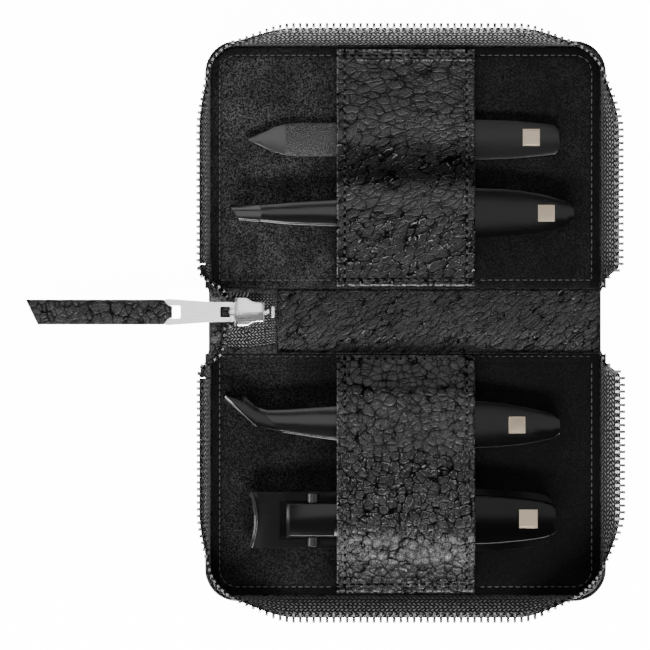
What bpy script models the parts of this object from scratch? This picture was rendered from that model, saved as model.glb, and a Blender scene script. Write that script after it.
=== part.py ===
"""Zip-round manicure case, opened flat, with four tools under two leather straps.

X runs along the spine, Y across the opened case from the lower half to the upper
half, Z up. The origin is the middle of the spine's underside, which lies on the table.
"""

import math

import bmesh
import bpy
from mathutils import Matrix, Vector

# Gaps between pieces
LAYER_GAP = 0.0001
PIECE_GAP = 0.0003
FOLD_GAP = 0.00015
OVERRUN = 0.002

# Case: the fold lines, the layers of leather, board and lining, and their outlines
SPINE_WIDTH = 0.018
FOLD_HEIGHT = 0.0024
LEATHER_THICKNESS = 0.0012
BOARD_THICKNESS = 0.001
LINING_THICKNESS = 0.0008
LINING_HALF_WIDTH = 0.0543
LINING_DEPTH = 0.0676
LINING_CORNER_RADIUS = 0.0072
RIM_THICKNESS = 0.0007
RIM_HEIGHT = 0.0026
COVER_EDGE_RADIUS = 0.0011
CORNER_STEPS = 9
SPINE_LEFT_MARGIN = 0.0008
SPINE_RIGHT_MARGIN = 0.0004
SPINE_LINING_LEFT = 0.036

# Zip: tape, teeth, and how far the wall leans out at each side and corner
TAPE_THICKNESS = 0.0005
TAPE_WIDTH = 0.0063
TAPE_KNEE_HEIGHT = 0.003
TAPE_STATION = 0.005
TOOTH_PITCH = 0.00187
TOOTH_WIDTH = 0.0009
TOOTH_LENGTH = 0.0012
TOOTH_HEAD = 0.0015
CORD_WIDTH = 0.0009
CORD_HEIGHT = 0.0004
LEAN_LENGTH = 0.0074
LEAN_UPPER = {"left": 0.0029, "far": 0.0052, "right": 0.0052,
              "left_corner": -0.0003, "right_corner": -0.001}
LEAN_LOWER = {"left": 0.0028, "far": 0.0063, "right": 0.0056,
              "left_corner": -0.0008, "right_corner": -0.0016}
WALL_LEFT_END = 0.007
WALL_RIGHT_END = 0.0004
WALL_TURN_LENGTH = 0.006
WALL_TURN_SHARE = 0.22
LEAN_BLEND = 0.016

# Zip across the spine: line of the chain, tail of the tape, bottom stop
ZIP_LINE = 0.0025
CHAIN_HEIGHT = 0.0034
CHAIN_LEFT = 0.0436
CHAIN_RIGHT = 0.0379
TAIL_TAPE_UPPER_EDGE = 0.0079
TAIL_TAPE_LOWER_EDGE = 0.0072
TAIL_DROP = 0.00175
STOP_LENGTH = 0.001
STOP_HALF_WIDTH = 0.0017

# Slider
SLIDER_NOSE = 0.0493
SLIDER_SHOULDER_LEFT = 0.0474
SLIDER_SHOULDER_RIGHT = 0.0446
SLIDER_NECK = 0.0422
SLIDER_TAIL = 0.0395
SLIDER_SHOULDER_HALF = 0.00405
SLIDER_TAIL_HALF = 0.00285
SLIDER_NOSE_HALF = 0.0008
SLIDER_ROUND = 0.0004
SLIDER_NECK_STEPS = 4
SLIDER_PLATE = 0.0007
SLIDER_CHANNEL = 0.0024
SLIDER_SLOT = 0.0012
SLIDER_FLANGE = 0.0006
SLIDER_FLANGE_LEFT = 0.0468
SLIDER_POST_HALF = 0.0009
SLIDER_POST_RIGHT = 0.0456
SLIDER_EDGE = 0.00025
CAP_WALL = 0.0009
CAP_COVER = 0.0006
CAP_INSET = 0.00015
CAP_RIDGE_HALF = 0.0002
CAP_HOOK_HALF = 0.0012
CAP_HOOK_WALL = 0.0005
# A crown row holds the share of the half width and the share of the rise
CAP_CROWN_SHARES = ((1.0, 0.0), (0.9, 0.35), (0.55, 0.75), (0.0, 1.0))
BAIL_RADIUS = 0.00045
BAIL_PLAY = 0.00035

# Pull
PULL_AXIS = 0.0483
PULL_THICKNESS = 0.001
PULL_LENGTH = 0.0197
PULL_NEAR_HALF = 0.00275
PULL_FAR_HALF = 0.0037
PULL_BAR = 0.0012
PULL_CORNER = 0.0007
SLOT_CORNER = 0.0005
NEAR_SLOT_START = 0.0006
NEAR_SLOT_LENGTH = 0.0029
NEAR_SLOT_HALF = 0.0015
FAR_SLOT_LENGTH = 0.0039
FAR_SLOT_HALF = 0.0018
TAB_LENGTH = 0.039
TAB_HALF = 0.0035
TAB_THICKNESS = 0.0022
TAB_SLANT = 0.0034
TAB_LOOP_HALF = 0.0014
TAB_LOOP_PLAY = 0.0004
TAB_LOOP_WALL = 0.0008

# Straps over the tools
STRAP_HALF_WIDTH = 0.0193
STRAP_THICKNESS = 0.001
STRAP_MARGIN = 0.0005
STRAP_SEAM = 0.003
STRAP_ROUND = 0.0015
STRAP_PLAY = 0.0004
STRAP_STEPS = 60

# Nail file
FILE_PLACE = 0.0507
FILE_TIP = -0.0439
FILE_END = 0.043
FILE_THICKNESS = 0.0016
FILE_BLADE_THICKNESS = 0.001
FILE_BLADE_HALF = 0.0047
FILE_HANDLE_HALF = 0.00557
FILE_TIP_LENGTH = 0.0135
# Rows of shares of the length and of the half width, for the pointed tip and the handle
FILE_TIP_SHARES = ((0.0, 0.06), (0.06, 0.15), (0.24, 0.38), (0.51, 0.735), (0.77, 0.93), (1.0, 1.0))
FILE_HANDLE_SHARES = ((0.0, 1.0), (0.4, 0.96), (0.76, 0.83), (0.94, 0.75), (0.98, 0.66), (1.0, 0.46))

# Tweezers and nipper
LEAF_THICKNESS = 0.001
LEAF_SPREAD = 0.0018
LEAF_ROLL = math.radians(8.0)
LEAF_STATION_SHARE = 0.045
# A plan row holds the place along the tool, its low and high edge as shares of the
# half width, and the share of the full spread that parts the leaves there
TWEEZERS = {
    "place": 0.0302, "tip": -0.0479, "end": 0.0469, "half": 0.0067,
    "slant": 0.0013, "slant_share": 0.08, "weld_share": 0.907,
    "plan_shares": [
        (0.0, -0.28, 0.28, 0.67), (0.078, -0.36, 0.33, 0.75), (0.157, -0.45, 0.42, 0.83),
        (0.308, -0.54, 0.54, 1.0), (0.505, -0.78, 0.78, 1.0), (0.711, -1.0, 1.0, 0.75),
        (0.795, -0.96, 0.97, 0.4), (0.907, -0.81, 0.76, 0.0), (0.975, -0.57, 0.54, 0.0),
        (1.0, -0.33, 0.33, 0.0),
    ],
}
NIPPER = {
    "place": -0.029, "tip": -0.0505, "end": 0.0431, "half": 0.0066,
    "slant": 0.0, "slant_share": 0.03, "weld_share": 0.912,
    "plan_shares": [
        (0.0, 1.11, 1.21, 0.67), (0.032, 0.73, 1.26, 0.67), (0.059, 0.39, 1.24, 0.67),
        (0.093, -0.05, 0.79, 0.67), (0.128, -0.2, 0.64, 0.67), (0.187, -0.33, 0.67, 0.75),
        (0.34, -0.64, 0.8, 1.0), (0.54, -0.85, 0.88, 1.0), (0.75, -1.0, 1.0, 0.75),
        (0.816, -0.95, 0.94, 0.4), (0.912, -0.79, 0.7, 0.0), (0.978, -0.61, 0.52, 0.0),
        (1.0, -0.36, 0.27, 0.0),
    ],
}

# Clipper
CLIPPER_PLACE = -0.0555
CLIPPER_FRONT = -0.0437
CLIPPER_END = 0.0409
CLIPPER_HALF = 0.00785
CLIPPER_WIDE_HALF = 0.0087
CLIPPER_CORNER = 0.0006
CLIPPER_HOLLOW = 0.0016
HOLLOW_LENGTH = 0.009
# Rows of shares of the length from the strap to the end, and of the half width there
JAW_END_SHARES = ((0.0, 1.0), (0.28, 0.968), (0.7, 0.887), (0.93, 0.77), (0.98, 0.66), (1.0, 0.54))
LEVER_END_SHARES = ((0.0, 1.0), (0.44, 0.914), (0.87, 0.73), (0.956, 0.64), (1.0, 0.47))
JAW_THICKNESS = 0.001
JAW_SPACE = 0.0018
MOUTH_GAP = 0.0012
JAW_LIP = 0.0045
EDGE_LENGTH = 0.0009
EDGE_THICKNESS = 0.0002
JAW_BEND_START = 0.02
JAW_BEND_END = 0.034
WINDOW_START = -0.0352
WINDOW_END = -0.004
WINDOW_HALF = 0.0054
PIN_PLACE = -0.0259
PIN_RADIUS = 0.00165
PIN_RISE = 0.00005
PIN_HALF_LENGTH = 0.0075
PIN_SINK = 0.0003
PIN_PLAY = 0.0002
LEVER_FRONT = -0.0336
LEVER_END = 0.0419
LEVER_HALF = 0.005
LEVER_WIDE_HALF = 0.007
LEVER_REAR_THICKNESS = 0.0012
LEVER_ROOF = 0.0004
LEVER_SINK = 0.0003
LEVER_TAPER_START = -0.02
LEVER_TAPER_END = 0.004
LEVER_BEVEL = 0.0012

# Heights and outlines that follow from the sizes above
FOLD = SPINE_WIDTH / 2
SPINE_LEFT_END = LINING_HALF_WIDTH + SPINE_LEFT_MARGIN
SPINE_RIGHT_END = LINING_HALF_WIDTH + SPINE_RIGHT_MARGIN
BOARD_BOTTOM = LEATHER_THICKNESS + LAYER_GAP
LINING_BOTTOM = BOARD_BOTTOM + BOARD_THICKNESS + LAYER_GAP
LINING_TOP = LINING_BOTTOM + LINING_THICKNESS
TAPE_INSET = PIECE_GAP + TAPE_THICKNESS / 2
WALL_HALF_WIDTH = LINING_HALF_WIDTH + TAPE_INSET
WALL_DEPTH = LINING_DEPTH + TAPE_INSET
WALL_RADIUS = LINING_CORNER_RADIUS + TAPE_INSET
RIM_INSET = 2 * PIECE_GAP + TAPE_THICKNESS
COVER_MARGIN = RIM_INSET + RIM_THICKNESS
SLIDER_BOTTOM = CHAIN_HEIGHT - SLIDER_CHANNEL / 2 - SLIDER_PLATE
SLIDER_TOP = CHAIN_HEIGHT + SLIDER_CHANNEL / 2 + SLIDER_PLATE
BAIL_HEIGHT = SLIDER_TOP + LAYER_GAP + BAIL_RADIUS + BAIL_PLAY
TOOL_FLOOR = LINING_TOP + PIECE_GAP

COLOURS = {
    "grained_leather": ((0.012, 0.012, 0.013), 0.5, 0.0),
    "suede": ((0.008, 0.008, 0.009), 0.95, 0.0),
    "board": ((0.25, 0.22, 0.18), 0.9, 0.0),
    "zip_tape": ((0.01, 0.01, 0.011), 0.85, 0.0),
    "bright_metal": ((0.72, 0.72, 0.72), 0.25, 1.0),
    "black_steel": ((0.03, 0.03, 0.032), 0.38, 0.9),
}


def material(name):
    """One Principled material per sub-part, in the finish of its name."""
    colour, roughness, metallic = COLOURS[name]
    finish = bpy.data.materials.new(name)
    finish.use_nodes = True
    shader = finish.node_tree.nodes["Principled BSDF"]
    shader.inputs["Base Color"].default_value = (*colour, 1.0)
    shader.inputs["Roughness"].default_value = roughness
    shader.inputs["Metallic"].default_value = metallic
    return finish


def smooth_step(share):
    share = min(max(share, 0.0), 1.0)
    return share * share * (3.0 - 2.0 * share)


def read_curve(keys, place):
    """Value at a place along a list of (place, value) keys, eased between them."""
    if place <= keys[0][0]:
        return keys[0][1]
    for (start, low), (end, high) in zip(keys, keys[1:]):
        if place <= end:
            return low + (high - low) * smooth_step((place - start) / (end - start))
    return keys[-1][1]


def read_line(keys, place):
    """Value at a place along a list of (place, value) keys, straight between them."""
    if place <= keys[0][0]:
        return keys[0][1]
    for (start, low), (end, high) in zip(keys, keys[1:]):
        if place <= end:
            return low + (high - low) * (place - start) / (end - start)
    return keys[-1][1]


def read_smooth(keys, place):
    """Value at a place on a smooth curve through (place, value) keys, with no overshoot."""
    slopes = [(b[1] - a[1]) / (b[0] - a[0]) for a, b in zip(keys, keys[1:])]
    bends = [2 * a * b / (a + b) if a * b > 0 else 0.0 for a, b in zip(slopes, slopes[1:])]
    bends = [slopes[0], *bends, slopes[-1]]
    place = min(max(place, keys[0][0]), keys[-1][0])
    k = max(i for i, key in enumerate(keys[:-1]) if key[0] <= place)
    (start, low), (end, high) = keys[k], keys[k + 1]
    run = end - start
    share = (place - start) / run
    value = low + (high - low) * smooth_step(share)
    value += bends[k] * run * share * (1.0 - share) ** 2
    return value - bends[k + 1] * run * share ** 2 * (1.0 - share)


def rounded(outline, reach, steps=3):
    """Outline whose corners are cut round, each over the same reach."""
    line = []
    for before, corner, after in zip(outline[-1:] + outline[:-1], outline, outline[1:] + outline[:1]):
        corner = Vector(corner)
        back, ahead = Vector(before) - corner, Vector(after) - corner
        size = min(reach, back.length / 2, ahead.length / 2)
        start, end = corner + back.normalized() * size, corner + ahead.normalized() * size
        for i in range(steps + 1):
            share = i / steps
            line.append(tuple(start.lerp(corner, share).lerp(corner.lerp(end, share), share)))
    return line


def new_object(name, mesh_data, finish, pivot=None, smooth=None):
    """Turn a bmesh in world places into a named object, hung on its joint's empty."""
    bmesh.ops.recalc_face_normals(mesh_data, faces=mesh_data.faces)
    mesh = bpy.data.meshes.new(name)
    if pivot is not None:
        mesh_data.transform(pivot.matrix_world.inverted())
    mesh_data.to_mesh(mesh)
    mesh_data.free()
    mesh.materials.append(material(finish))
    if smooth is not None:
        mesh.shade_smooth()
        mesh.set_sharp_from_angle(angle=math.radians(smooth))
    piece = bpy.data.objects.new(name, mesh)
    bpy.context.collection.objects.link(piece)
    piece.parent = pivot
    return piece


def new_pivot(name, place, parent=None, tilt=0.0):
    """An empty on a joint's axis; the pieces that it carries are its children."""
    pivot = bpy.data.objects.new(name, None)
    bpy.context.collection.objects.link(pivot)
    world = Matrix.Translation(Vector(place)) @ Matrix.Rotation(tilt, 4, "Y")
    pivot.parent = parent
    pivot.matrix_world = world
    bpy.context.view_layer.update()
    return pivot


def loft(rings):
    """Closed body through rings of equally many points, with a cap on each end."""
    shape = bmesh.new()
    loops = [[shape.verts.new(point) for point in ring] for ring in rings]
    count = len(loops[0])
    for low, high in zip(loops, loops[1:]):
        for i in range(count):
            j = (i + 1) % count
            shape.faces.new((low[i], low[j], high[j], high[i]))
    shape.faces.new(loops[0])
    shape.faces.new(loops[-1])
    return shape


def ladder(lines):
    """Closed body between two long edges lines, each a list of rows of points.

    lines is a list of closed cross-sections of four or six points; the end sections
    are filled as strips of quads, which suits thin bent sheets.
    """
    shape = bmesh.new()
    loops = [[shape.verts.new(point) for point in ring] for ring in lines]
    count = len(loops[0])
    for low, high in zip(loops, loops[1:]):
        for i in range(count):
            j = (i + 1) % count
            shape.faces.new((low[i], low[j], high[j], high[i]))
    half = count // 2
    for loop in (loops[0], loops[-1]):
        for i in range(half - 1):
            shape.faces.new((loop[i], loop[i + 1], loop[count - 2 - i], loop[count - 1 - i]))
    return shape


def slab(outline, bottom, top, edge=0.0, shrink=None):
    """Flat plate on an outline of (x, y); shrink gives the outline drawn in by an edge."""
    if edge:
        small = shrink(edge)
        levels = [(small, bottom), (outline, bottom + edge), (outline, top - edge), (small, top)]
    else:
        levels = [(outline, bottom), (outline, top)]
    return loft([[(x, y, z) for x, y in ring] for ring, z in levels])


def cut(piece, mesh_data, name, pivot=None):
    """Take a shape away from a piece with a Boolean that stays on the piece."""
    cutter = new_object(name, mesh_data, "board", pivot)
    cutter.hide_render = True
    cutter.display_type = "WIRE"
    boolean = piece.modifiers.new(name, "BOOLEAN")
    boolean.operation = "DIFFERENCE"
    boolean.solver = "EXACT"
    boolean.object = cutter
    return cutter


def join(piece, mesh_data, name, pivot=None):
    """Add a shape to a piece with a Boolean union that stays on the piece."""
    adder = cut(piece, mesh_data, name, pivot)
    piece.modifiers[name].operation = "UNION"
    return adder


def arc(centre, radius, start, end, steps):
    """Points on an arc, in the XY plane, both ends included."""
    points = []
    for i in range(steps + 1):
        angle = math.radians(start + (end - start) * i / steps)
        points.append((centre[0] + radius * math.cos(angle), centre[1] + radius * math.sin(angle)))
    return points


def tray_outline(side, half_width, near, far, radius):
    """Outline of a layer of one half: square at the fold, round at the far corners."""
    points = [(half_width, near)]
    points += arc((half_width - radius, far - radius), radius, 0, 90, CORNER_STEPS)
    points += arc((radius - half_width, far - radius), radius, 90, 180, CORNER_STEPS)
    points.append((-half_width, near))
    return [(x, side * (FOLD + d)) for x, d in points]


def make_half(side, name, lean, pivot):
    """Leather cover, board, lining, tape wall and teeth of one half of the case."""
    def cover_ring(inset):
        return tray_outline(side, LINING_HALF_WIDTH + COVER_MARGIN - inset, FOLD_GAP,
                            LINING_DEPTH + COVER_MARGIN - inset,
                            LINING_CORNER_RADIUS + COVER_MARGIN - inset)

    rings = []
    for i in range(4):
        angle = math.radians(90.0) * i / 3
        inset = COVER_EDGE_RADIUS * (1.0 - math.sin(angle))
        height = COVER_EDGE_RADIUS * (1.0 - math.cos(angle))
        rings.append([(x, y, height) for x, y in cover_ring(inset)])
    rings.append([(x, y, RIM_HEIGHT) for x, y in cover_ring(0.0)])
    cover = new_object(f"cover_leather_{name}", loft(rings), "grained_leather", pivot, 40)
    pocket = tray_outline(side, LINING_HALF_WIDTH + RIM_INSET, -OVERRUN,
                          LINING_DEPTH + RIM_INSET, LINING_CORNER_RADIUS + RIM_INSET)
    cut(cover, slab(pocket, LEATHER_THICKNESS, RIM_HEIGHT + OVERRUN), f"pocket_{name}", pivot)

    plate = tray_outline(side, LINING_HALF_WIDTH, FOLD_GAP, LINING_DEPTH, LINING_CORNER_RADIUS)
    board = slab(plate, BOARD_BOTTOM, BOARD_BOTTOM + BOARD_THICKNESS)
    new_object(f"stiffener_board_{name}", board, "board", pivot)
    new_object(f"lining_{name}", slab(plate, LINING_BOTTOM, LINING_TOP), "suede", pivot)

    path = WallPath(side, lean)
    new_object(f"zip_tape_{name}", tape_wall(path), "zip_tape", pivot, 50)
    new_object(f"zip_teeth_{name}", tooth_row(wall_frames(path)), "bright_metal", pivot)


class WallPath:
    """Line round three sides of a half on which the zip's tape stands."""

    def __init__(self, side, lean):
        self.side = side
        self.right = WALL_DEPTH - WALL_RADIUS - WALL_RIGHT_END
        self.corner = math.radians(90.0) * WALL_RADIUS
        self.far = 2 * (WALL_HALF_WIDTH - WALL_RADIUS)
        self.left = WALL_DEPTH - WALL_RADIUS - WALL_LEFT_END
        self.length = self.right + self.far + self.left + 2 * self.corner
        right_corner = self.right + self.corner / 2
        left_corner = right_corner + self.corner + self.far
        self.keys = [
            (0.0, 0.0),
            (WALL_TURN_LENGTH, lean["right"]),
            (self.right - LEAN_BLEND, lean["right"]),
            (right_corner, lean["right_corner"]),
            (self.right + self.corner + LEAN_BLEND, lean["far"]),
            (self.right + self.corner + self.far - LEAN_BLEND, lean["far"]),
            (left_corner, lean["left_corner"]),
            (left_corner + self.corner / 2 + LEAN_BLEND, lean["left"]),
            (self.length, lean["left"]),
        ]

    def foot(self, s):
        """Point on the line and the outward direction there."""
        x, d, nx, nd = WALL_HALF_WIDTH, WALL_RIGHT_END + s, 1.0, 0.0
        past = s - self.right
        if past > 0:
            angle = min(past, self.corner) / WALL_RADIUS
            nx, nd = math.cos(angle), math.sin(angle)
            x = WALL_HALF_WIDTH - WALL_RADIUS + WALL_RADIUS * nx
            d = WALL_DEPTH - WALL_RADIUS + WALL_RADIUS * nd
        past -= self.corner
        if past > 0:
            x, d = WALL_HALF_WIDTH - WALL_RADIUS - min(past, self.far), WALL_DEPTH
        past -= self.far
        if past > 0:
            angle = min(past, self.corner) / WALL_RADIUS
            nx, nd = -math.sin(angle), math.cos(angle)
            x = WALL_RADIUS - WALL_HALF_WIDTH + WALL_RADIUS * nx
            d = WALL_DEPTH - WALL_RADIUS + WALL_RADIUS * nd
        past -= self.corner
        if past > 0:
            nx, nd, x, d = -1.0, 0.0, -WALL_HALF_WIDTH, WALL_DEPTH - WALL_RADIUS - past
        point = Vector((x, self.side * (FOLD + d), TAPE_KNEE_HEIGHT))
        return point, Vector((nx, self.side * nd, 0.0))

    def frame(self, s):
        """Knee point, direction up the tape, direction out of its face, width there."""
        knee, outward = self.foot(s)
        lean = read_curve(self.keys, s) / LEAN_LENGTH
        rise = math.sqrt(1.0 - lean * lean)
        up = outward * lean + Vector((0.0, 0.0, rise))
        face = outward * rise - Vector((0.0, 0.0, lean))
        turn = WALL_TURN_SHARE + (1.0 - WALL_TURN_SHARE) * smooth_step(s / WALL_TURN_LENGTH)
        return knee, up, face, outward, TAPE_WIDTH * turn

    def stations(self):
        """Places along the line, closer together in the corners."""
        marks = [0.0]
        for start, length, step in (
            (0.0, WALL_TURN_LENGTH, TAPE_STATION / 4),
            (WALL_TURN_LENGTH, self.right - WALL_TURN_LENGTH, TAPE_STATION),
            (self.right, self.corner, TAPE_STATION / 4),
            (self.right + self.corner, self.far, TAPE_STATION),
            (self.right + self.corner + self.far, self.corner, TAPE_STATION / 4),
            (self.right + 2 * self.corner + self.far, self.left, TAPE_STATION),
        ):
            count = max(1, round(length / step))
            marks += [start + length * (i + 1) / count for i in range(count)]
        return marks


def tape_wall(path):
    """Woven tape: a foot between lining and rim, and a leaning wall above it."""
    foot_height = LEATHER_THICKNESS + PIECE_GAP
    rings = []
    for s in path.stations():
        knee, up, face, outward, width = path.frame(s)
        half = TAPE_THICKNESS / 2
        drop = Vector((0.0, 0.0, foot_height - TAPE_KNEE_HEIGHT))
        mitre = (outward + face).normalized() * half
        rings.append([
            knee + drop + outward * half,
            knee + mitre,
            knee + up * width + face * half,
            knee + up * width - face * half,
            knee - mitre,
            knee + drop - outward * half,
        ])
    return ladder(rings)


def wall_frames(path):
    """Frames of the tooth row: centre of the cord's foot, up, face and along."""
    count = int(path.length / TOOTH_PITCH)
    frames = []
    for i in range(count):
        for offset in (-TOOTH_WIDTH / 2, TOOTH_WIDTH / 2):
            s = (i + 1 / 2) * path.length / count + offset
            knee, up, face, outward, width = path.frame(s)
            frames.append((knee + up * (width + PIECE_GAP), up, face))
    return frames


def tooth_row(frames):
    """Metal teeth on their cord, in one body; frames come in pairs, one pair a tooth."""
    shape = bmesh.new()
    half = CORD_WIDTH / 2
    loops = []
    for root, up, face in frames:
        ring = (root + face * half, root + face * half + up * CORD_HEIGHT,
                root - face * half + up * CORD_HEIGHT, root - face * half)
        loops.append([shape.verts.new(point) for point in ring])
    for i, (low, high) in enumerate(zip(loops, loops[1:])):
        for a, b in ((0, 1), (1, 2), (2, 3), (3, 0)):
            if (a, b) != (1, 2) or i % 2:
                shape.faces.new((low[a], low[b], high[b], high[a]))
        if i % 2 == 0:
            add_tooth(shape, frames[i:i + 2], (low[1], low[2], high[2], high[1]))
    shape.faces.new(loops[0])
    shape.faces.new(loops[-1])
    return shape


def add_tooth(shape, frames, foot):
    """One tooth: it widens from the cord to its shoulder and rounds off at its head."""
    below = foot
    for share, width_share in ((1 / 2, 1.0), (1.0, 2 / 3)):
        above = []
        for frame, sign in zip((frames[0], frames[0], frames[1], frames[1]), (1, -1, -1, 1)):
            root, up, face = frame
            point = root + up * (CORD_HEIGHT + TOOTH_LENGTH * share)
            point = point + face * (sign * TOOTH_HEAD / 2 * width_share)
            above.append(shape.verts.new(point))
        for i in range(4):
            j = (i + 1) % 4
            shape.faces.new((below[i], below[j], above[j], above[i]))
        below = above
    shape.faces.new(below)


def make_spine():
    """Spine leather and its inner strip, between the two fold lines."""
    edge = FOLD - FOLD_GAP
    outer = [(-SPINE_LEFT_END, -edge), (SPINE_RIGHT_END, -edge),
             (SPINE_RIGHT_END, edge), (-SPINE_LEFT_END, edge)]
    new_object("spine_leather", slab(outer, 0.0, LEATHER_THICKNESS), "grained_leather")
    inner = [(-SPINE_LINING_LEFT, -edge), (LINING_HALF_WIDTH, -edge),
             (LINING_HALF_WIDTH, edge), (-SPINE_LINING_LEFT, edge)]
    strip = slab(inner, BOARD_BOTTOM, BOARD_BOTTOM + BOARD_THICKNESS)
    new_object("spine_lining", strip, "grained_leather")


def chain_drop(x):
    """How far the tape and chain have come down towards the spine's inner strip."""
    run = CHAIN_RIGHT - SPINE_LINING_LEFT - PIECE_GAP
    return TAIL_DROP * smooth_step((x + CHAIN_RIGHT) / run)


def make_zip_tail():
    """Tape tail sewn to the spine, the joined chain on it and the bottom stop."""
    end = -SPINE_LINING_LEFT - PIECE_GAP
    steps = 6
    half = TAPE_THICKNESS / 2
    rings = []
    places = [-CHAIN_LEFT] + [-CHAIN_RIGHT + (end + CHAIN_RIGHT) * i / steps
                              for i in range(steps + 1)]
    for x in places:
        z = CHAIN_HEIGHT - chain_drop(x)
        rings.append([(x, -TAIL_TAPE_LOWER_EDGE, z - half), (x, TAIL_TAPE_UPPER_EDGE, z - half),
                      (x, TAIL_TAPE_UPPER_EDGE, z + half), (x, -TAIL_TAPE_LOWER_EDGE, z + half)])
    tape = new_object("zip_tail_tape", loft(rings), "zip_tape", smooth=40)
    slot_half = TOOTH_HEAD / 2 + CORD_HEIGHT + PIECE_GAP
    slot_left, slot_right = -CHAIN_LEFT - OVERRUN, -CHAIN_RIGHT + PIECE_GAP
    slot = [(slot_left, ZIP_LINE - slot_half), (slot_right, ZIP_LINE - slot_half),
            (slot_right, ZIP_LINE + slot_half), (slot_left, ZIP_LINE + slot_half)]
    cut(tape, slab(slot, CHAIN_HEIGHT - OVERRUN, CHAIN_HEIGHT + OVERRUN), "chain_gap")

    count = int((CHAIN_LEFT - CHAIN_RIGHT) / TOOTH_PITCH * 2)
    pitch = (CHAIN_LEFT - CHAIN_RIGHT) / count
    shape = bmesh.new()
    rings = []
    for i in range(count):
        sign = 1 if i % 2 else -1
        for share in (1 / 6, 5 / 6):
            x = -CHAIN_LEFT + (i + share) * pitch
            rings.append((x, sign))
    half_width = CORD_HEIGHT + TOOTH_HEAD / 4
    loops = []
    for x, sign in rings:
        inner, outer = half_width / 2, half_width
        low = -outer if sign < 0 else -inner
        high = outer if sign > 0 else inner
        z = CHAIN_HEIGHT
        tall = TOOTH_HEAD / 2
        ring = ((x, ZIP_LINE + low, z - tall), (x, ZIP_LINE + high, z - tall),
                (x, ZIP_LINE + high, z + tall), (x, ZIP_LINE + low, z + tall))
        loops.append([shape.verts.new(point) for point in ring])
    for low, high in zip(loops, loops[1:]):
        for i in range(4):
            j = (i + 1) % 4
            shape.faces.new((low[i], low[j], high[j], high[i]))
    shape.faces.new(loops[0])
    shape.faces.new(loops[-1])
    new_object("zip_tail_chain", shape, "bright_metal")

    start = -CHAIN_RIGHT + PIECE_GAP
    place = [(start, ZIP_LINE - STOP_HALF_WIDTH), (start + STOP_LENGTH, ZIP_LINE - STOP_HALF_WIDTH),
             (start + STOP_LENGTH, ZIP_LINE + STOP_HALF_WIDTH), (start, ZIP_LINE + STOP_HALF_WIDTH)]
    top = CHAIN_HEIGHT + TAPE_THICKNESS / 2 + PIECE_GAP
    new_object("zip_bottom_stop", slab(place, top, top + STOP_LENGTH), "bright_metal")


def bridge_lines(side, lean):
    """Row line and foot line of the zip limb from a wall's left end into the slider."""
    path = WallPath(side, lean)
    knee, up, face, outward, width = path.frame(path.length)
    top = knee + up * (width + PIECE_GAP)
    gap = Vector((0.0, -side * PIECE_GAP, 0.0))
    drawn_in = TAPE_WIDTH * 2 / 5
    turn = -WALL_HALF_WIDTH + drawn_in
    edge = TAIL_TAPE_UPPER_EDGE if side > 0 else TAIL_TAPE_LOWER_EDGE
    shoulder = SLIDER_SHOULDER_HALF - SLIDER_FLANGE
    fold_drop = WALL_LEFT_END * 2 / 3
    reach = CORD_HEIGHT + TOOTH_LENGTH
    beside_post = SLIDER_POST_HALF + PIECE_GAP + reach
    over_lining = LINING_TOP + TAPE_THICKNESS + 2 * PIECE_GAP
    row = [
        top + gap,
        Vector((top.x + drawn_in / 3, side * (FOLD + WALL_LEFT_END - fold_drop * 2 / 3),
                top.z - drawn_in / 4)),
        Vector((turn, side * (FOLD + FOLD_GAP), (top.z + CHAIN_HEIGHT) / 2)),
        Vector((-SLIDER_NOSE - drawn_in / 3, ZIP_LINE + side * (shoulder + TOOTH_HEAD * 2 / 3),
                CHAIN_HEIGHT + drawn_in / 4)),
        Vector((-SLIDER_SHOULDER_LEFT, ZIP_LINE + side * beside_post, CHAIN_HEIGHT)),
        Vector((-SLIDER_POST_RIGHT, ZIP_LINE + side * beside_post, CHAIN_HEIGHT)),
        Vector((-CHAIN_LEFT - PIECE_GAP, ZIP_LINE + side * (reach + PIECE_GAP / 2), CHAIN_HEIGHT)),
    ]
    foot = [
        knee + gap,
        Vector((knee.x, side * (FOLD + WALL_LEFT_END / 2), over_lining)),
        Vector((knee.x + drawn_in / 2, side * (FOLD + FOLD_GAP), over_lining)),
        Vector((-SLIDER_NOSE - drawn_in / 2, side * edge, CHAIN_HEIGHT)),
        Vector((-SLIDER_SHOULDER_LEFT, side * edge, CHAIN_HEIGHT)),
        Vector((-SLIDER_POST_RIGHT, side * edge, CHAIN_HEIGHT)),
        Vector((-CHAIN_LEFT - PIECE_GAP, side * edge, CHAIN_HEIGHT)),
    ]
    return row, foot


def curve_through(points, steps):
    """Smooth line of many points through a few, end points kept."""
    line = []
    padded = [points[0] * 2 - points[1], *points, points[-1] * 2 - points[-2]]
    for a, b, c, d in zip(padded, padded[1:], padded[2:], padded[3:]):
        for i in range(steps):
            t = i / steps
            line.append(((b * 2) + (c - a) * t + (a * 2 - b * 5 + c * 4 - d) * t * t
                         + (b * 3 - a - c * 3 + d) * t * t * t) / 2)
    line.append(points[-1])
    return line


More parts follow.
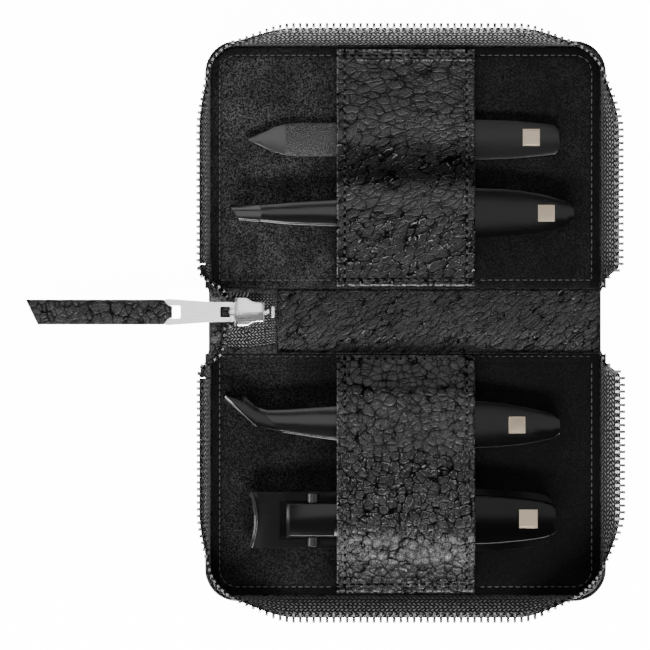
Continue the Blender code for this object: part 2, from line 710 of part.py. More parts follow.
def make_bridge(side, name, lean):
    """Tape and teeth limb of one half, crossing the fold into the slider."""
    row, foot = bridge_lines(side, lean)
    row_line, foot_line = curve_through(row, 10), curve_through(foot, 10)
    frames = []
    for i, (top, low) in enumerate(zip(row_line, foot_line)):
        along = (row_line[min(i + 1, len(row_line) - 1)] - row_line[max(i - 1, 0)]).normalized()
        up = (top - low).normalized()
        face = up.cross(along).normalized() * side
        up = along.cross(face).normalized() * side
        frames.append((top, low, up, face))
    half = TAPE_THICKNESS / 2
    rings = []
    for top, low, up, face in frames[::2]:
        edge = top - up * PIECE_GAP
        rings.append([low + face * half, edge + face * half, edge - face * half, low - face * half])
    new_object(f"zip_bridge_tape_{name}", ladder(rings), "zip_tape", smooth=50)

    lengths = [0.0]
    for a, b in zip(row_line, row_line[1:]):
        lengths.append(lengths[-1] + (b - a).length)
    count = int(lengths[-1] / TOOTH_PITCH)
    teeth = []
    for i in range(count):
        for offset in (-TOOTH_WIDTH / 2, TOOTH_WIDTH / 2):
            s = (i + 1 / 2) * lengths[-1] / count + offset
            k = max(n for n, length in enumerate(lengths[:-1]) if length <= s)
            share = (s - lengths[k]) / (lengths[k + 1] - lengths[k])
            top, up, face = (frames[k][n].lerp(frames[k + 1][n], share) for n in (0, 2, 3))
            teeth.append((top, up.normalized(), face.normalized()))
    new_object(f"zip_bridge_teeth_{name}", tooth_row(teeth), "bright_metal")


def slider_outline(inset=0.0):
    """Plan of the slider: pointed nose at the left, shoulders, curved neck and tail."""
    narrow, wide = SLIDER_TAIL_HALF - inset, SLIDER_SHOULDER_HALF - inset
    upper = [(-SLIDER_TAIL - inset, narrow)]
    for i in range(SLIDER_NECK_STEPS + 1):
        share = i / SLIDER_NECK_STEPS
        x = -SLIDER_NECK + (SLIDER_NECK - SLIDER_SHOULDER_RIGHT) * share
        upper.append((x, narrow + (wide - narrow) * smooth_step(share)))
    upper += [
        (-SLIDER_SHOULDER_LEFT + SLIDER_ROUND, wide),
        (-SLIDER_SHOULDER_LEFT, wide - SLIDER_ROUND),
        (-SLIDER_NOSE + inset, SLIDER_NOSE_HALF - inset),
    ]
    lower = [(x, -y) for x, y in reversed(upper)]
    return [(x, ZIP_LINE + y) for x, y in upper + lower]


def make_slider(pivot):
    """Slider body with its Y-shaped channel, and the cap that holds the pull."""
    body = slab(slider_outline(), SLIDER_BOTTOM, SLIDER_TOP, SLIDER_EDGE, slider_outline)
    body = new_object("slider_body", body, "bright_metal", pivot)
    flange = SLIDER_FLANGE
    post = SLIDER_POST_HALF
    tail, nose = -SLIDER_TAIL + OVERRUN, -SLIDER_NOSE - OVERRUN
    upper = [
        (tail, SLIDER_TAIL_HALF - flange),
        (-SLIDER_NECK, SLIDER_TAIL_HALF - flange),
        (-SLIDER_SHOULDER_RIGHT, SLIDER_SHOULDER_HALF - flange),
        (-SLIDER_FLANGE_LEFT, SLIDER_SHOULDER_HALF - flange),
        (-SLIDER_FLANGE_LEFT, SLIDER_SHOULDER_HALF + OVERRUN),
        (nose, SLIDER_SHOULDER_HALF + OVERRUN),
        (nose, post),
        (-SLIDER_SHOULDER_LEFT, post),
    ]
    channel = upper + [(-SLIDER_POST_RIGHT, 0.0)] + [(x, -y) for x, y in reversed(upper)]
    wide = SLIDER_SHOULDER_HALF + OVERRUN
    upper = [(tail, wide), (nose, wide), (nose, post), (-SLIDER_SHOULDER_LEFT, post)]
    slot = upper + [(-SLIDER_POST_RIGHT, 0.0)] + [(x, -y) for x, y in reversed(upper)]
    for name, plan, tall in (("channel", channel, SLIDER_CHANNEL), ("tape_slot", slot, SLIDER_SLOT)):
        plan = [(x, ZIP_LINE + y) for x, y in plan]
        cut(body, slab(plan, CHAIN_HEIGHT - tall / 2, CHAIN_HEIGHT + tall / 2), name, pivot)

    bottom = SLIDER_TOP + LAYER_GAP
    eaves = bottom + CAP_WALL
    top = BAIL_HEIGHT + BAIL_RADIUS + BAIL_PLAY + CAP_COVER
    roof_left = -PULL_AXIS + BAIL_RADIUS + BAIL_PLAY
    outline = [(x, y - ZIP_LINE) for x, y in slider_outline(CAP_INSET) if y > ZIP_LINE]
    plan = [(x, y) for x, y in outline if x > roof_left]
    plan.append((roof_left, read_line(sorted(outline), roof_left)))
    rings = []
    for spread, rise in ((1.0, None), *CAP_CROWN_SHARES):
        level = bottom if rise is None else eaves + (top - eaves) * rise
        half_ring = [(x, CAP_RIDGE_HALF + (y - CAP_RIDGE_HALF) * spread) for x, y in plan]
        full = half_ring + [(x, -y) for x, y in reversed(half_ring)]
        rings.append([(x, ZIP_LINE + y, level) for x, y in full])
    cap = new_object("slider_cap", loft(rings), "bright_metal", pivot)
    reach = BAIL_RADIUS + BAIL_PLAY + CAP_HOOK_WALL
    left, right = -PULL_AXIS - reach, roof_left + CAP_HOOK_WALL
    brow = top - CAP_COVER / 4
    hook = [(left, bottom), (right, bottom), (right, brow), (-PULL_AXIS - reach / 2, brow),
            (left, BAIL_HEIGHT + BAIL_RADIUS)]
    join(cap, across(hook, ZIP_LINE, CAP_HOOK_HALF), "cap_hook", pivot)
    tunnel = arc((-PULL_AXIS, BAIL_HEIGHT), BAIL_RADIUS + BAIL_PLAY, 0, 330, 11)
    cut(cap, across(tunnel, ZIP_LINE, SLIDER_SHOULDER_HALF), "cap_tunnel", pivot)


def across(profile, middle, half):
    """A profile of (x, z) drawn across the Y direction."""
    return loft([[(x, middle + y, z) for x, z in profile] for y in (-half, half)])


def tilted(mesh_data, pivot):
    """Move a shape drawn around the origin to the place and slope of a pivot."""
    mesh_data.transform(pivot.matrix_world)
    return mesh_data


def make_pull(slider):
    """Metal plate on the slider's bail, and the leather tab looped to its far end."""
    tab_end = PULL_LENGTH + TAB_LENGTH
    drop = BAIL_HEIGHT - PIECE_GAP - TAB_THICKNESS / 2
    slope = -math.asin(drop / tab_end)
    pull = new_pivot("pull_axis", (-PULL_AXIS, ZIP_LINE, BAIL_HEIGHT), slider, slope)

    far = -PULL_LENGTH
    near_slot = (-NEAR_SLOT_START - NEAR_SLOT_LENGTH, -NEAR_SLOT_START)
    waist = near_slot[0] - PULL_BAR
    half = PULL_THICKNESS / 2
    plan = [(BAIL_RADIUS, PULL_NEAR_HALF), (waist, PULL_NEAR_HALF), (far + PULL_BAR, PULL_FAR_HALF),
            (far, PULL_FAR_HALF - PULL_BAR / 2)]
    plan = rounded(plan + [(x, -y) for x, y in reversed(plan)], PULL_CORNER)
    plate = new_object("pull_plate", tilted(slab(plan, -half, half), pull), "bright_metal", pull)
    far_slot = (far + PULL_BAR, far + PULL_BAR + FAR_SLOT_LENGTH)
    for name, (start, end), wide in (("near_slot", near_slot, NEAR_SLOT_HALF),
                                     ("far_slot", far_slot, FAR_SLOT_HALF)):
        hole = rounded([(start, -wide), (end, -wide), (end, wide), (start, wide)], SLOT_CORNER)
        cut(plate, tilted(slab(hole, -OVERRUN, OVERRUN), pull), name, pull)
    trim = half - BAIL_RADIUS
    thin_from = -NEAR_SLOT_START
    for name, low, high in (("bail_top", BAIL_RADIUS, half + OVERRUN),
                            ("bail_bottom", -half - OVERRUN, -BAIL_RADIUS)):
        if trim > 0:
            skim = [(thin_from, -PULL_FAR_HALF), (OVERRUN, -PULL_FAR_HALF),
                    (OVERRUN, PULL_FAR_HALF), (thin_from, PULL_FAR_HALF)]
            cut(plate, tilted(slab(skim, low, high), pull), name, pull)

    loop_x = far + PULL_BAR / 2
    hinge = pull.matrix_world @ Vector((loop_x, 0.0, 0.0))
    tab_axis = new_pivot("tab_axis", hinge, pull, slope)
    bar_reach = math.hypot(PULL_BAR / 2, half)
    hole_radius = bar_reach + TAB_LOOP_PLAY
    loop_radius = hole_radius + TAB_LOOP_WALL
    tall = TAB_THICKNESS / 2
    tab = [(x, z) for x, z in arc((0.0, 0.0), loop_radius, 150, -150, 20)]
    body = [(-TAB_LENGTH + TAB_LOOP_WALL, -tall), (-TAB_LENGTH, -tall * 2 / 3)]
    body += [(-TAB_LENGTH, tall * 2 / 3), (-TAB_LENGTH + TAB_LOOP_WALL, tall)]
    profile = tab + [(-loop_radius * 2, -tall)] + body + [(-loop_radius * 2, tall)]
    leather = across(profile, 0.0, TAB_HALF)
    leather = new_object("pull_leather", tilted(leather, tab_axis), "grained_leather", tab_axis, 40)
    hole = across(arc((0.0, 0.0), hole_radius, 0, 345, 23), 0.0, TAB_HALF + OVERRUN)
    cut(leather, tilted(hole, tab_axis), "tab_hole", tab_axis)
    for sign in (-1, 1):
        middle = sign * (TAB_LOOP_HALF + TAB_HALF + OVERRUN) / 2
        deep = (TAB_HALF + OVERRUN - TAB_LOOP_HALF) / 2
        start = half
        notch = [(start, -OVERRUN * 2), (OVERRUN * 3, -OVERRUN * 2),
                 (OVERRUN * 3, OVERRUN * 2), (start, OVERRUN * 2)]
        cut(leather, tilted(across(notch, middle, deep), tab_axis), f"loop_notch_{sign + 1}", tab_axis)
    slant = [(-TAB_LENGTH - OVERRUN, -TAB_HALF - OVERRUN), (-TAB_LENGTH + TAB_SLANT, -TAB_HALF - OVERRUN),
             (-TAB_LENGTH, TAB_HALF), (-TAB_LENGTH, TAB_HALF + OVERRUN),
             (-TAB_LENGTH - OVERRUN, TAB_HALF + OVERRUN)]
    cut(leather, tilted(slab(slant, -OVERRUN, OVERRUN), tab_axis), "tab_slant", tab_axis)
    return pull, tab_axis


def strap_height(knots, y):
    """Height of a taut strap's underside above its seat, rounded where it bends."""
    spread = [STRAP_ROUND * share for share in (-1.0, -0.5, 0.0, 0.5, 1.0)]
    return sum(read_line(knots, y + d) for d in spread) / len(spread)


def strap_knots(side, low, high, tools):
    """Places and heights that the strap runs straight between, over each tool in turn."""
    knots = [(low - STRAP_SEAM, 0.0), (low + STRAP_SEAM, 0.0)]
    for place, half, tall in tools:
        reach = half + PIECE_GAP + STRAP_PLAY + STRAP_ROUND
        rise = tall + PIECE_GAP + STRAP_PLAY
        knots += [(side * place - reach, rise), (side * place + reach, rise)]
    return knots + [(high - STRAP_SEAM, 0.0), (high + STRAP_SEAM, 0.0)]


def make_strap(side, name, tools, pivot):
    """Leather strap sewn flat at its two ends and drawn taut over both tools."""
    low, high = FOLD + FOLD_GAP + STRAP_MARGIN, FOLD + LINING_DEPTH - STRAP_MARGIN
    seat = LINING_TOP + LAYER_GAP
    knots = strap_knots(side, low, high, tools)
    line = []
    for i in range(STRAP_STEPS + 1):
        d = low + (high - low) * i / STRAP_STEPS
        line.append((side * d, seat + strap_height(knots, d)))
    inner, outer = [], []
    for i, (y, z) in enumerate(line):
        y0, z0 = line[max(i - 1, 0)]
        y1, z1 = line[min(i + 1, STRAP_STEPS)]
        run, rise = abs(y1 - y0), (z1 - z0)
        size = math.hypot(run, rise)
        shift = -rise / size * STRAP_THICKNESS * side
        inner.append((y, z))
        outer.append((y + shift, z + run / size * STRAP_THICKNESS))
    rings = []
    for (yi, zi), (yo, zo) in zip(inner, outer):
        rings.append([(-STRAP_HALF_WIDTH, yi, zi), (STRAP_HALF_WIDTH, yi, zi),
                      (STRAP_HALF_WIDTH, yo, zo), (-STRAP_HALF_WIDTH, yo, zo)])
    new_object(f"strap_{name}", loft(rings), "grained_leather", pivot, 40)


def stations_between(places, spacing):
    """The given places, and even steps between those that lie further apart."""
    line = []
    for start, end in zip(places, places[1:]):
        steps = max(math.ceil((end - start) / spacing), 1) if end - start > 2 * spacing else 1
        line += [start + (end - start) * i / steps for i in range(steps)]
    return line + [places[-1]]


def leaf_rings(stations, level, thickness, slant=0.0, slant_end=0.0):
    """Rings of a flat leaf; a station is (x, low edge y, high edge y, height, thickness share)."""
    rings = []
    first = stations[0][0]
    for x, low, high, height, share in stations:
        middle, half = (low + high) / 2, (high - low) / 2
        lean = slant and slant * (1.0 - smooth_step((x - first) / (slant_end - first)))
        z = level + height
        tall = thickness * share
        ring = []
        for across_share, up_share in ((-1.0, 0.3), (-0.9, 0.0), (0.9, 0.0), (1.0, 0.3), (1.0, 0.7),
                                       (0.82, 0.92), (0.0, 1.0), (-0.82, 0.92), (-1.0, 0.7)):
            ring.append(Vector((x - lean * across_share, middle + half * across_share,
                                z + tall * up_share)))
        rings.append(ring)
    return rings


def rolled(rings, place, level):
    """Roll a tool about its own long line, which lies at a place and height."""
    turn = Matrix.Rotation(-LEAF_ROLL, 4, "X")
    centre = Vector((0.0, place, level))
    return [[turn @ (point - centre) + centre for point in ring] for ring in rings]


def make_file(pivot):
    """Nail file: one stamped piece, a thin abrasive blade and a thicker handle."""
    half, handle_half, handle = FILE_BLADE_HALF, FILE_HANDLE_HALF, FILE_END - STRAP_HALF_WIDTH
    keys = [(FILE_TIP + FILE_TIP_LENGTH * along, half * wide) for along, wide in FILE_TIP_SHARES]
    keys += [(-STRAP_HALF_WIDTH, half), (0.0, half)]
    keys += [(STRAP_HALF_WIDTH + handle * along, handle_half * wide)
             for along, wide in FILE_HANDLE_SHARES]
    stations = []
    thin = FILE_BLADE_THICKNESS / FILE_THICKNESS
    for x in stations_between([key[0] for key in keys], FILE_TIP_LENGTH / 4):
        half = read_smooth(keys, x)
        share = thin + (1.0 - thin) * smooth_step((x + STRAP_HALF_WIDTH) / STRAP_HALF_WIDTH)
        stations.append((x, FILE_PLACE - half, FILE_PLACE + half, 0.0, share))
    shape = loft(leaf_rings(stations, TOOL_FLOOR, FILE_THICKNESS))
    new_object("nail_file", shape, "black_steel", pivot, 30)


def leaf_shape(tool, upper):
    """Stations of one leaf of a sprung tool, read from the tool's table of shares."""
    rows = tool["plan_shares"]
    columns = [[(row[0], row[k]) for row in rows] for k in (1, 2, 3)]
    stations = []
    for along in stations_between([row[0] for row in rows], LEAF_STATION_SHARE):
        low, high, spread = (read_smooth(keys, along) for keys in columns)
        x = tool["tip"] + (tool["end"] - tool["tip"]) * along
        height = LEAF_SPREAD * spread / 2 + LAYER_GAP / 2
        base = height if upper else -height - LEAF_THICKNESS
        y = tool["place"]
        stations.append((x, y + low * tool["half"], y + high * tool["half"], base, 1.0))
    return stations


def leaf_level(tool):
    """Height of a rolled tool's middle when its lower edge lies on the lining."""
    rise = tool["half"] * math.sin(LEAF_ROLL)
    return TOOL_FLOOR + rise + (LEAF_THICKNESS + LEAF_SPREAD / 2) * math.cos(LEAF_ROLL)


def weld_place(tool):
    """Middle of the weld line on which the upper leaf turns."""
    x = tool["tip"] + (tool["end"] - tool["tip"]) * tool["weld_share"]
    return (x, tool["place"], leaf_level(tool))


def make_sprung_tool(name, tool, lower_pivot, upper_pivot):
    """Two leaves, welded at the tail, that spring apart between tail and tips."""
    level = leaf_level(tool)
    slant_end = tool["tip"] + (tool["end"] - tool["tip"]) * tool["slant_share"]
    for part, upper, pivot in (("lower_leaf", False, lower_pivot), ("upper_leaf", True, upper_pivot)):
        rings = leaf_rings(leaf_shape(tool, upper), level, LEAF_THICKNESS, tool["slant"], slant_end)
        shape = loft(rolled(rings, tool["place"], level))
        new_object(f"{name}_{part}", shape, "black_steel", pivot, 30)


ACROSS_SHARES = (-1.0, -0.75, -0.4, 0.0, 0.4, 0.75, 1.0)


def jaw_rings(stations):
    """Rings of a wide flat jaw with a hollow cutting edge.

    A station is (x, half width, height of the underside, height of the top). The hollow
    of the edge fades out behind it.
    """
    rings = []
    front = stations[0][0]
    for x, half, bottom, top in stations:
        fade = CLIPPER_HOLLOW * (1.0 - smooth_step((x - front) / HOLLOW_LENGTH))
        low = [(x + fade * (1.0 - share * share), CLIPPER_PLACE + half * share, bottom)
               for share in ACROSS_SHARES]
        high = [(x, y, top) for x, y, z in reversed(low)]
        rings.append(low + high)
    return rings


def clipper_half(x):
    """Half width of the clipper's jaws at a place along it."""
    keys = [(CLIPPER_FRONT, CLIPPER_HALF - CLIPPER_CORNER), (CLIPPER_FRONT + CLIPPER_CORNER, CLIPPER_HALF),
            (PIN_PLACE, CLIPPER_HALF)]
    tail = CLIPPER_END - STRAP_HALF_WIDTH
    keys += [(STRAP_HALF_WIDTH + tail * along, CLIPPER_WIDE_HALF * wide) for along, wide in JAW_END_SHARES]
    return read_smooth(keys, x)


def saddle(centre, radius, foot):
    """Section of the saddle: a round back over a flat foot at a height."""
    dip = math.degrees(math.asin((centre[1] - foot) / radius))
    return arc(centre, radius, -dip, 180 + dip, 18)


def make_clipper(jaw_pivot, upper_pivot, lever_pivot):
    """Lower jaw, sprung upper jaw with its window, cross pin and folded lever."""
    floor = TOOL_FLOOR
    lower_top = floor + JAW_THICKNESS
    upper_bottom = lower_top + JAW_SPACE
    lip_rise = (JAW_SPACE - MOUTH_GAP) / 2
    places = [CLIPPER_FRONT, CLIPPER_FRONT + CLIPPER_CORNER, CLIPPER_FRONT + EDGE_LENGTH,
              CLIPPER_FRONT + JAW_LIP / 2, CLIPPER_FRONT + JAW_LIP, CLIPPER_FRONT + HOLLOW_LENGTH,
              PIN_PLACE - PIN_RADIUS * 2, 0.0]
    tail = CLIPPER_END - STRAP_HALF_WIDTH
    ends = [STRAP_HALF_WIDTH + tail * along for along, wide in JAW_END_SHARES]
    places += stations_between(ends, tail / 9)
    lower, upper = [], []
    for x in places:
        half = clipper_half(x)
        lip = 1.0 - smooth_step((x - CLIPPER_FRONT) / JAW_LIP)
        edge = 1.0 - min((x - CLIPPER_FRONT) / EDGE_LENGTH, 1.0)
        sharp = (JAW_THICKNESS - EDGE_THICKNESS) * edge
        lower.append((x, half, floor + sharp, lower_top + lip_rise * lip))
        bend = smooth_step((x - JAW_BEND_START) / (JAW_BEND_END - JAW_BEND_START))
        base = upper_bottom - (JAW_SPACE - LAYER_GAP) * bend - lip_rise * lip
        upper.append((x, half, base, base + JAW_THICKNESS - sharp))
    new_object("clipper_lower_jaw", loft(jaw_rings(lower)), "black_steel", jaw_pivot, 30)
    jaw = new_object("clipper_upper_jaw", loft(jaw_rings(upper)), "black_steel", upper_pivot, 30)
    window = [(WINDOW_START, CLIPPER_PLACE - WINDOW_HALF), (WINDOW_END, CLIPPER_PLACE - WINDOW_HALF),
              (WINDOW_END, CLIPPER_PLACE + WINDOW_HALF), (WINDOW_START, CLIPPER_PLACE + WINDOW_HALF)]
    upper_top = upper_bottom + JAW_THICKNESS
    cut(jaw, slab(window, upper_bottom - OVERRUN, upper_top + OVERRUN), "window", upper_pivot)

    pin_height = upper_top + PIN_RISE
    centre = (PIN_PLACE, pin_height)
    foot = upper_top - PIN_SINK
    seat = saddle(centre, PIN_RADIUS + PIN_PLAY, foot - LAYER_GAP)
    cut(jaw, across(seat, CLIPPER_PLACE, CLIPPER_WIDE_HALF + OVERRUN), "pin_seat", upper_pivot)
    pin = across(saddle(centre, PIN_RADIUS, foot), CLIPPER_PLACE, PIN_HALF_LENGTH)
    new_object("clipper_pin", pin, "bright_metal", upper_pivot, 40)

    roof = pin_height + PIN_RADIUS + PIN_PLAY + LEVER_ROOF
    low = upper_top - LEVER_SINK
    rear = upper_top + PIECE_GAP
    front = LEVER_FRONT
    stations = [
        (front, LEVER_HALF, low, roof - LEVER_BEVEL),
        (front + LEVER_BEVEL / 4, LEVER_HALF, low, roof - LEVER_BEVEL / 3),
        (front + LEVER_BEVEL, LEVER_HALF, low, roof),
        (LEVER_TAPER_START, LEVER_HALF, low, roof),
        (WINDOW_END - LEVER_BEVEL * 3, LEVER_HALF, low + (rear - low) / 2, roof),
        (WINDOW_END - LEVER_BEVEL, LEVER_HALF, rear, roof),
    ]
    tail = LEVER_END - STRAP_HALF_WIDTH
    keys = [(WINDOW_END - LEVER_BEVEL, LEVER_HALF)]
    keys += [(STRAP_HALF_WIDTH + tail * along, LEVER_WIDE_HALF * wide) for along, wide in LEVER_END_SHARES]
    places = [WINDOW_END, LEVER_TAPER_END, (LEVER_TAPER_END + STRAP_HALF_WIDTH) / 2]
    places += stations_between([x for x, half in keys[1:]], tail / 7)
    stations += [(x, read_smooth(keys, x), rear, rear + LEVER_REAR_THICKNESS) for x in places]
    rings = []
    for x, half, bottom, top in stations:
        if x > LEVER_TAPER_START and x < LEVER_TAPER_END:
            share = smooth_step((x - LEVER_TAPER_START) / (LEVER_TAPER_END - LEVER_TAPER_START))
            top = roof + (rear + LEVER_REAR_THICKNESS - roof) * share
        rings.append([(x, CLIPPER_PLACE + half * a, bottom + (top - bottom) * b) for a, b in (
            (-1.0, 0.0), (1.0, 0.0), (1.0, 0.6), (0.96, 0.88), (0.88, 1.0), (0.0, 1.06),
            (-0.88, 1.0), (-0.96, 0.88), (-1.0, 0.6))])
    lever = new_object("clipper_lever", loft(rings), "black_steel", lever_pivot, 30)
    bore = across(arc(centre, PIN_RADIUS + PIN_PLAY, 0, 337.5, 15), CLIPPER_PLACE,
                  CLIPPER_WIDE_HALF + OVERRUN)
    cut(lever, bore, "pin_bore", lever_pivot)
    return pin_height


def build():
    for old in list(bpy.data.objects):
        bpy.data.objects.remove(old, do_unlink=True)
    lower = new_pivot("fold_lower", (0.0, -FOLD, FOLD_HEIGHT))
    upper = new_pivot("fold_upper", (0.0, FOLD, FOLD_HEIGHT))
    make_spine()
    make_half(-1, "lower", LEAN_LOWER, lower)
    make_half(1, "upper", LEAN_UPPER, upper)
    make_bridge(-1, "lower", LEAN_LOWER)
    make_bridge(1, "upper", LEAN_UPPER)
    make_zip_tail()
    slider = new_pivot("slider_travel", (-SLIDER_TAIL, ZIP_LINE, CHAIN_HEIGHT))
    make_slider(slider)
    make_pull(slider)

    leaf_stack = 2 * LEAF_THICKNESS + LEAF_SPREAD
    clipper_top = JAW_THICKNESS * 2 + JAW_SPACE + PIN_RISE + PIN_RADIUS + PIN_PLAY + LEVER_ROOF
    tweezers_top, nipper_top = (leaf_stack + 2 * tool["half"] * math.sin(LEAF_ROLL)
                                for tool in (TWEEZERS, NIPPER))
    make_strap(1, "upper", [(TWEEZERS["place"], TWEEZERS["half"], tweezers_top),
                            (FILE_PLACE, FILE_HANDLE_HALF, FILE_THICKNESS)], upper)
    make_strap(-1, "lower", [(NIPPER["place"], NIPPER["half"], nipper_top),
                             (CLIPPER_PLACE, LEVER_WIDE_HALF, clipper_top)], lower)

    file_slide = new_pivot("file_slide", (FILE_TIP, FILE_PLACE, TOOL_FLOOR), upper)
    make_file(file_slide)
    for name, tool, half in (("tweezers", TWEEZERS, upper), ("nipper", NIPPER, lower)):
        slide = new_pivot(f"{name}_slide", (tool["tip"], tool["place"], TOOL_FLOOR), half)
        squeeze = new_pivot(f"{name}_squeeze", weld_place(tool), slide)
        make_sprung_tool(name, tool, slide, squeeze)
    clipper = new_pivot("clipper_slide", (CLIPPER_FRONT, CLIPPER_PLACE, TOOL_FLOOR), lower)
    jaw_top = TOOL_FLOOR + JAW_THICKNESS
    squeeze = new_pivot("clipper_squeeze", (JAW_BEND_END, CLIPPER_PLACE, jaw_top), clipper)
    pin_height = jaw_top + JAW_SPACE + JAW_THICKNESS + PIN_RISE
    lever = new_pivot("clipper_lever_axis", (PIN_PLACE, CLIPPER_PLACE, pin_height), squeeze)
    make_clipper(clipper, squeeze, lever)


build()
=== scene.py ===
# %% [markdown]
# # A zip-round manicure case, opened flat
#
# The CAD model already holds every size and every joint. This file gives the case its
# looks: grained leather, suede, woven zip tape, metal teeth, stitches and brushed black
# tools. Nothing that the CAD made is moved or resized. Soft pieces are built again as
# finer meshes in the same places, and hard pieces keep their CAD shape or follow it.

# %% Load the CAD frame
import math

import bmesh
import bpy
import numpy as np
from mathutils import Matrix, Vector
from mathutils.bvhtree import BVHTree


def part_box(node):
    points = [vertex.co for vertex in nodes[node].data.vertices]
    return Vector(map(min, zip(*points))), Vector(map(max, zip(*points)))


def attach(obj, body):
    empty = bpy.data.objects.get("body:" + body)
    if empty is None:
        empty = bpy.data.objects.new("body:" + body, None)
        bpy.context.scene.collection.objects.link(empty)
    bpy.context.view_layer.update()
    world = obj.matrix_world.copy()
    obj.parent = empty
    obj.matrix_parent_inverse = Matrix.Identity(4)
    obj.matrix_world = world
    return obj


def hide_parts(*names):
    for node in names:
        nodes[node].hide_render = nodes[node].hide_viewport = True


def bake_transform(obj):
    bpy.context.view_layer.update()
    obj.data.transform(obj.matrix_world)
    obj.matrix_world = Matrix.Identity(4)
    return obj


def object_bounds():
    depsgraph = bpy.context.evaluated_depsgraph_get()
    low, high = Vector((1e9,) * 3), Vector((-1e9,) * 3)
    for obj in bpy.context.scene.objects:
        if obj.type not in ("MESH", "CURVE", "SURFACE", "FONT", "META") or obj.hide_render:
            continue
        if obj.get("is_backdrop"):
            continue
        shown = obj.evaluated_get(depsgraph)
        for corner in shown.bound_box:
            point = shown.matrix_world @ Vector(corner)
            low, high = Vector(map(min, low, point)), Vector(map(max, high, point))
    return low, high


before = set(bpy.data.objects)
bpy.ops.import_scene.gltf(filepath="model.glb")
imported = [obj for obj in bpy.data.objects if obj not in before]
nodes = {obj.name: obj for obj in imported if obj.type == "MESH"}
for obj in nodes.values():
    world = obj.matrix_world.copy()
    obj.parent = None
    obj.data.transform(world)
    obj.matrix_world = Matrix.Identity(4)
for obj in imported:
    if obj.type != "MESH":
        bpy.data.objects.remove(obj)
cad_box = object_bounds()
MM = 0.001
print("nodes", len(nodes), "box in mm", [round(v / MM, 1) for v in cad_box[1] - cad_box[0]])

# %% [markdown]
# ## Camera
#
# The photograph looks straight down on the opened case from far away, so near and far
# parts show at one scale. A long lens on a high camera gives the same. One pixel of the
# 650 pixel frame is 0.28 mm on the table, and the case's middle lies right of the
# frame's middle because the zip's pull reaches out to the left.

# %% Camera above the case
PIXEL = 0.28 * MM
FRAME_PIXELS = 650
SPINE_MIDDLE_PIXEL = (405.5, 321.0)
CAMERA_HEIGHT = 2.0
SENSOR = 36.0


def add_object(name, data):
    """A new object in the scene."""
    made = bpy.data.objects.new(name, data)
    bpy.context.collection.objects.link(made)
    return made


def at_pixel(px, py):
    """Place on the table of a pixel of the photograph's frame."""
    return Vector(((px - SPINE_MIDDLE_PIXEL[0]) * PIXEL, (SPINE_MIDDLE_PIXEL[1] - py) * PIXEL, 0.0))


camera = add_object("camera", bpy.data.cameras.new("camera"))
camera.location = at_pixel(FRAME_PIXELS / 2, FRAME_PIXELS / 2) + Vector((0.0, 0.0, CAMERA_HEIGHT))
camera.data.sensor_width = SENSOR
camera.data.lens = SENSOR * CAMERA_HEIGHT / (PIXEL * FRAME_PIXELS)
camera.data.clip_end = 10 * CAMERA_HEIGHT
bpy.context.scene.camera = camera
print("lens in mm", round(camera.data.lens))

# %% [markdown]
# ## Light
#
# Black leather shows its grain only in what it mirrors. A wide soft box overhead, a little
# towards the far side, is mirrored by every level face: cells of leather shine, creases
# stay dark, and slopes turn dark with bright ridges. A narrow, strong one on the near side
# puts the bright band on the strap's near slope and the thin lines on the tools' edges.

# %% Soft boxes and a pale sky
WHITE = (1.0, 1.0, 1.0, 1.0)
SKY_STRENGTH = 0.1


def soft_box(name, place, size, power):
    """A rectangular area light that faces the middle of the case."""
    light = bpy.data.lights.new(name, "AREA")
    light.shape = "RECTANGLE"
    light.size, light.size_y = size
    light.energy = power
    box = add_object(name, light)
    box.location = place
    box.rotation_euler = (Vector() - Vector(place)).to_track_quat("-Z", "Y").to_euler()


soft_box("light_over", (-0.1, 0.42, 2.4), (2.4, 1.3), 19.0)
soft_box("light_far", (-0.25, 0.85, 0.9), (1.0, 0.3), 3.0)
soft_box("light_near", (0.1, -1.1, 0.62), (1.4, 0.2), 38.0)
soft_box("light_left", (-1.0, 0.0, 0.55), (0.3, 0.9), 3.0)
soft_box("light_right", (1.0, 0.0, 0.45), (0.3, 0.9), 2.5)
world = bpy.data.worlds.new("studio")
world.use_nodes = True
sky = world.node_tree.nodes["Background"].inputs
sky["Color"].default_value = WHITE
sky["Strength"].default_value = SKY_STRENGTH
bpy.context.scene.world = world
print("lights", len(bpy.data.lights))

# %% [markdown]
# ## Finishes as expressions
#
# A procedural finish is a sum of textures. Writing it node by node hides that sum, so a
# small class wraps one output of the node tree, and Python's own operators add the Math
# nodes. Colours go through Mix nodes, because a Math node would turn them grey.

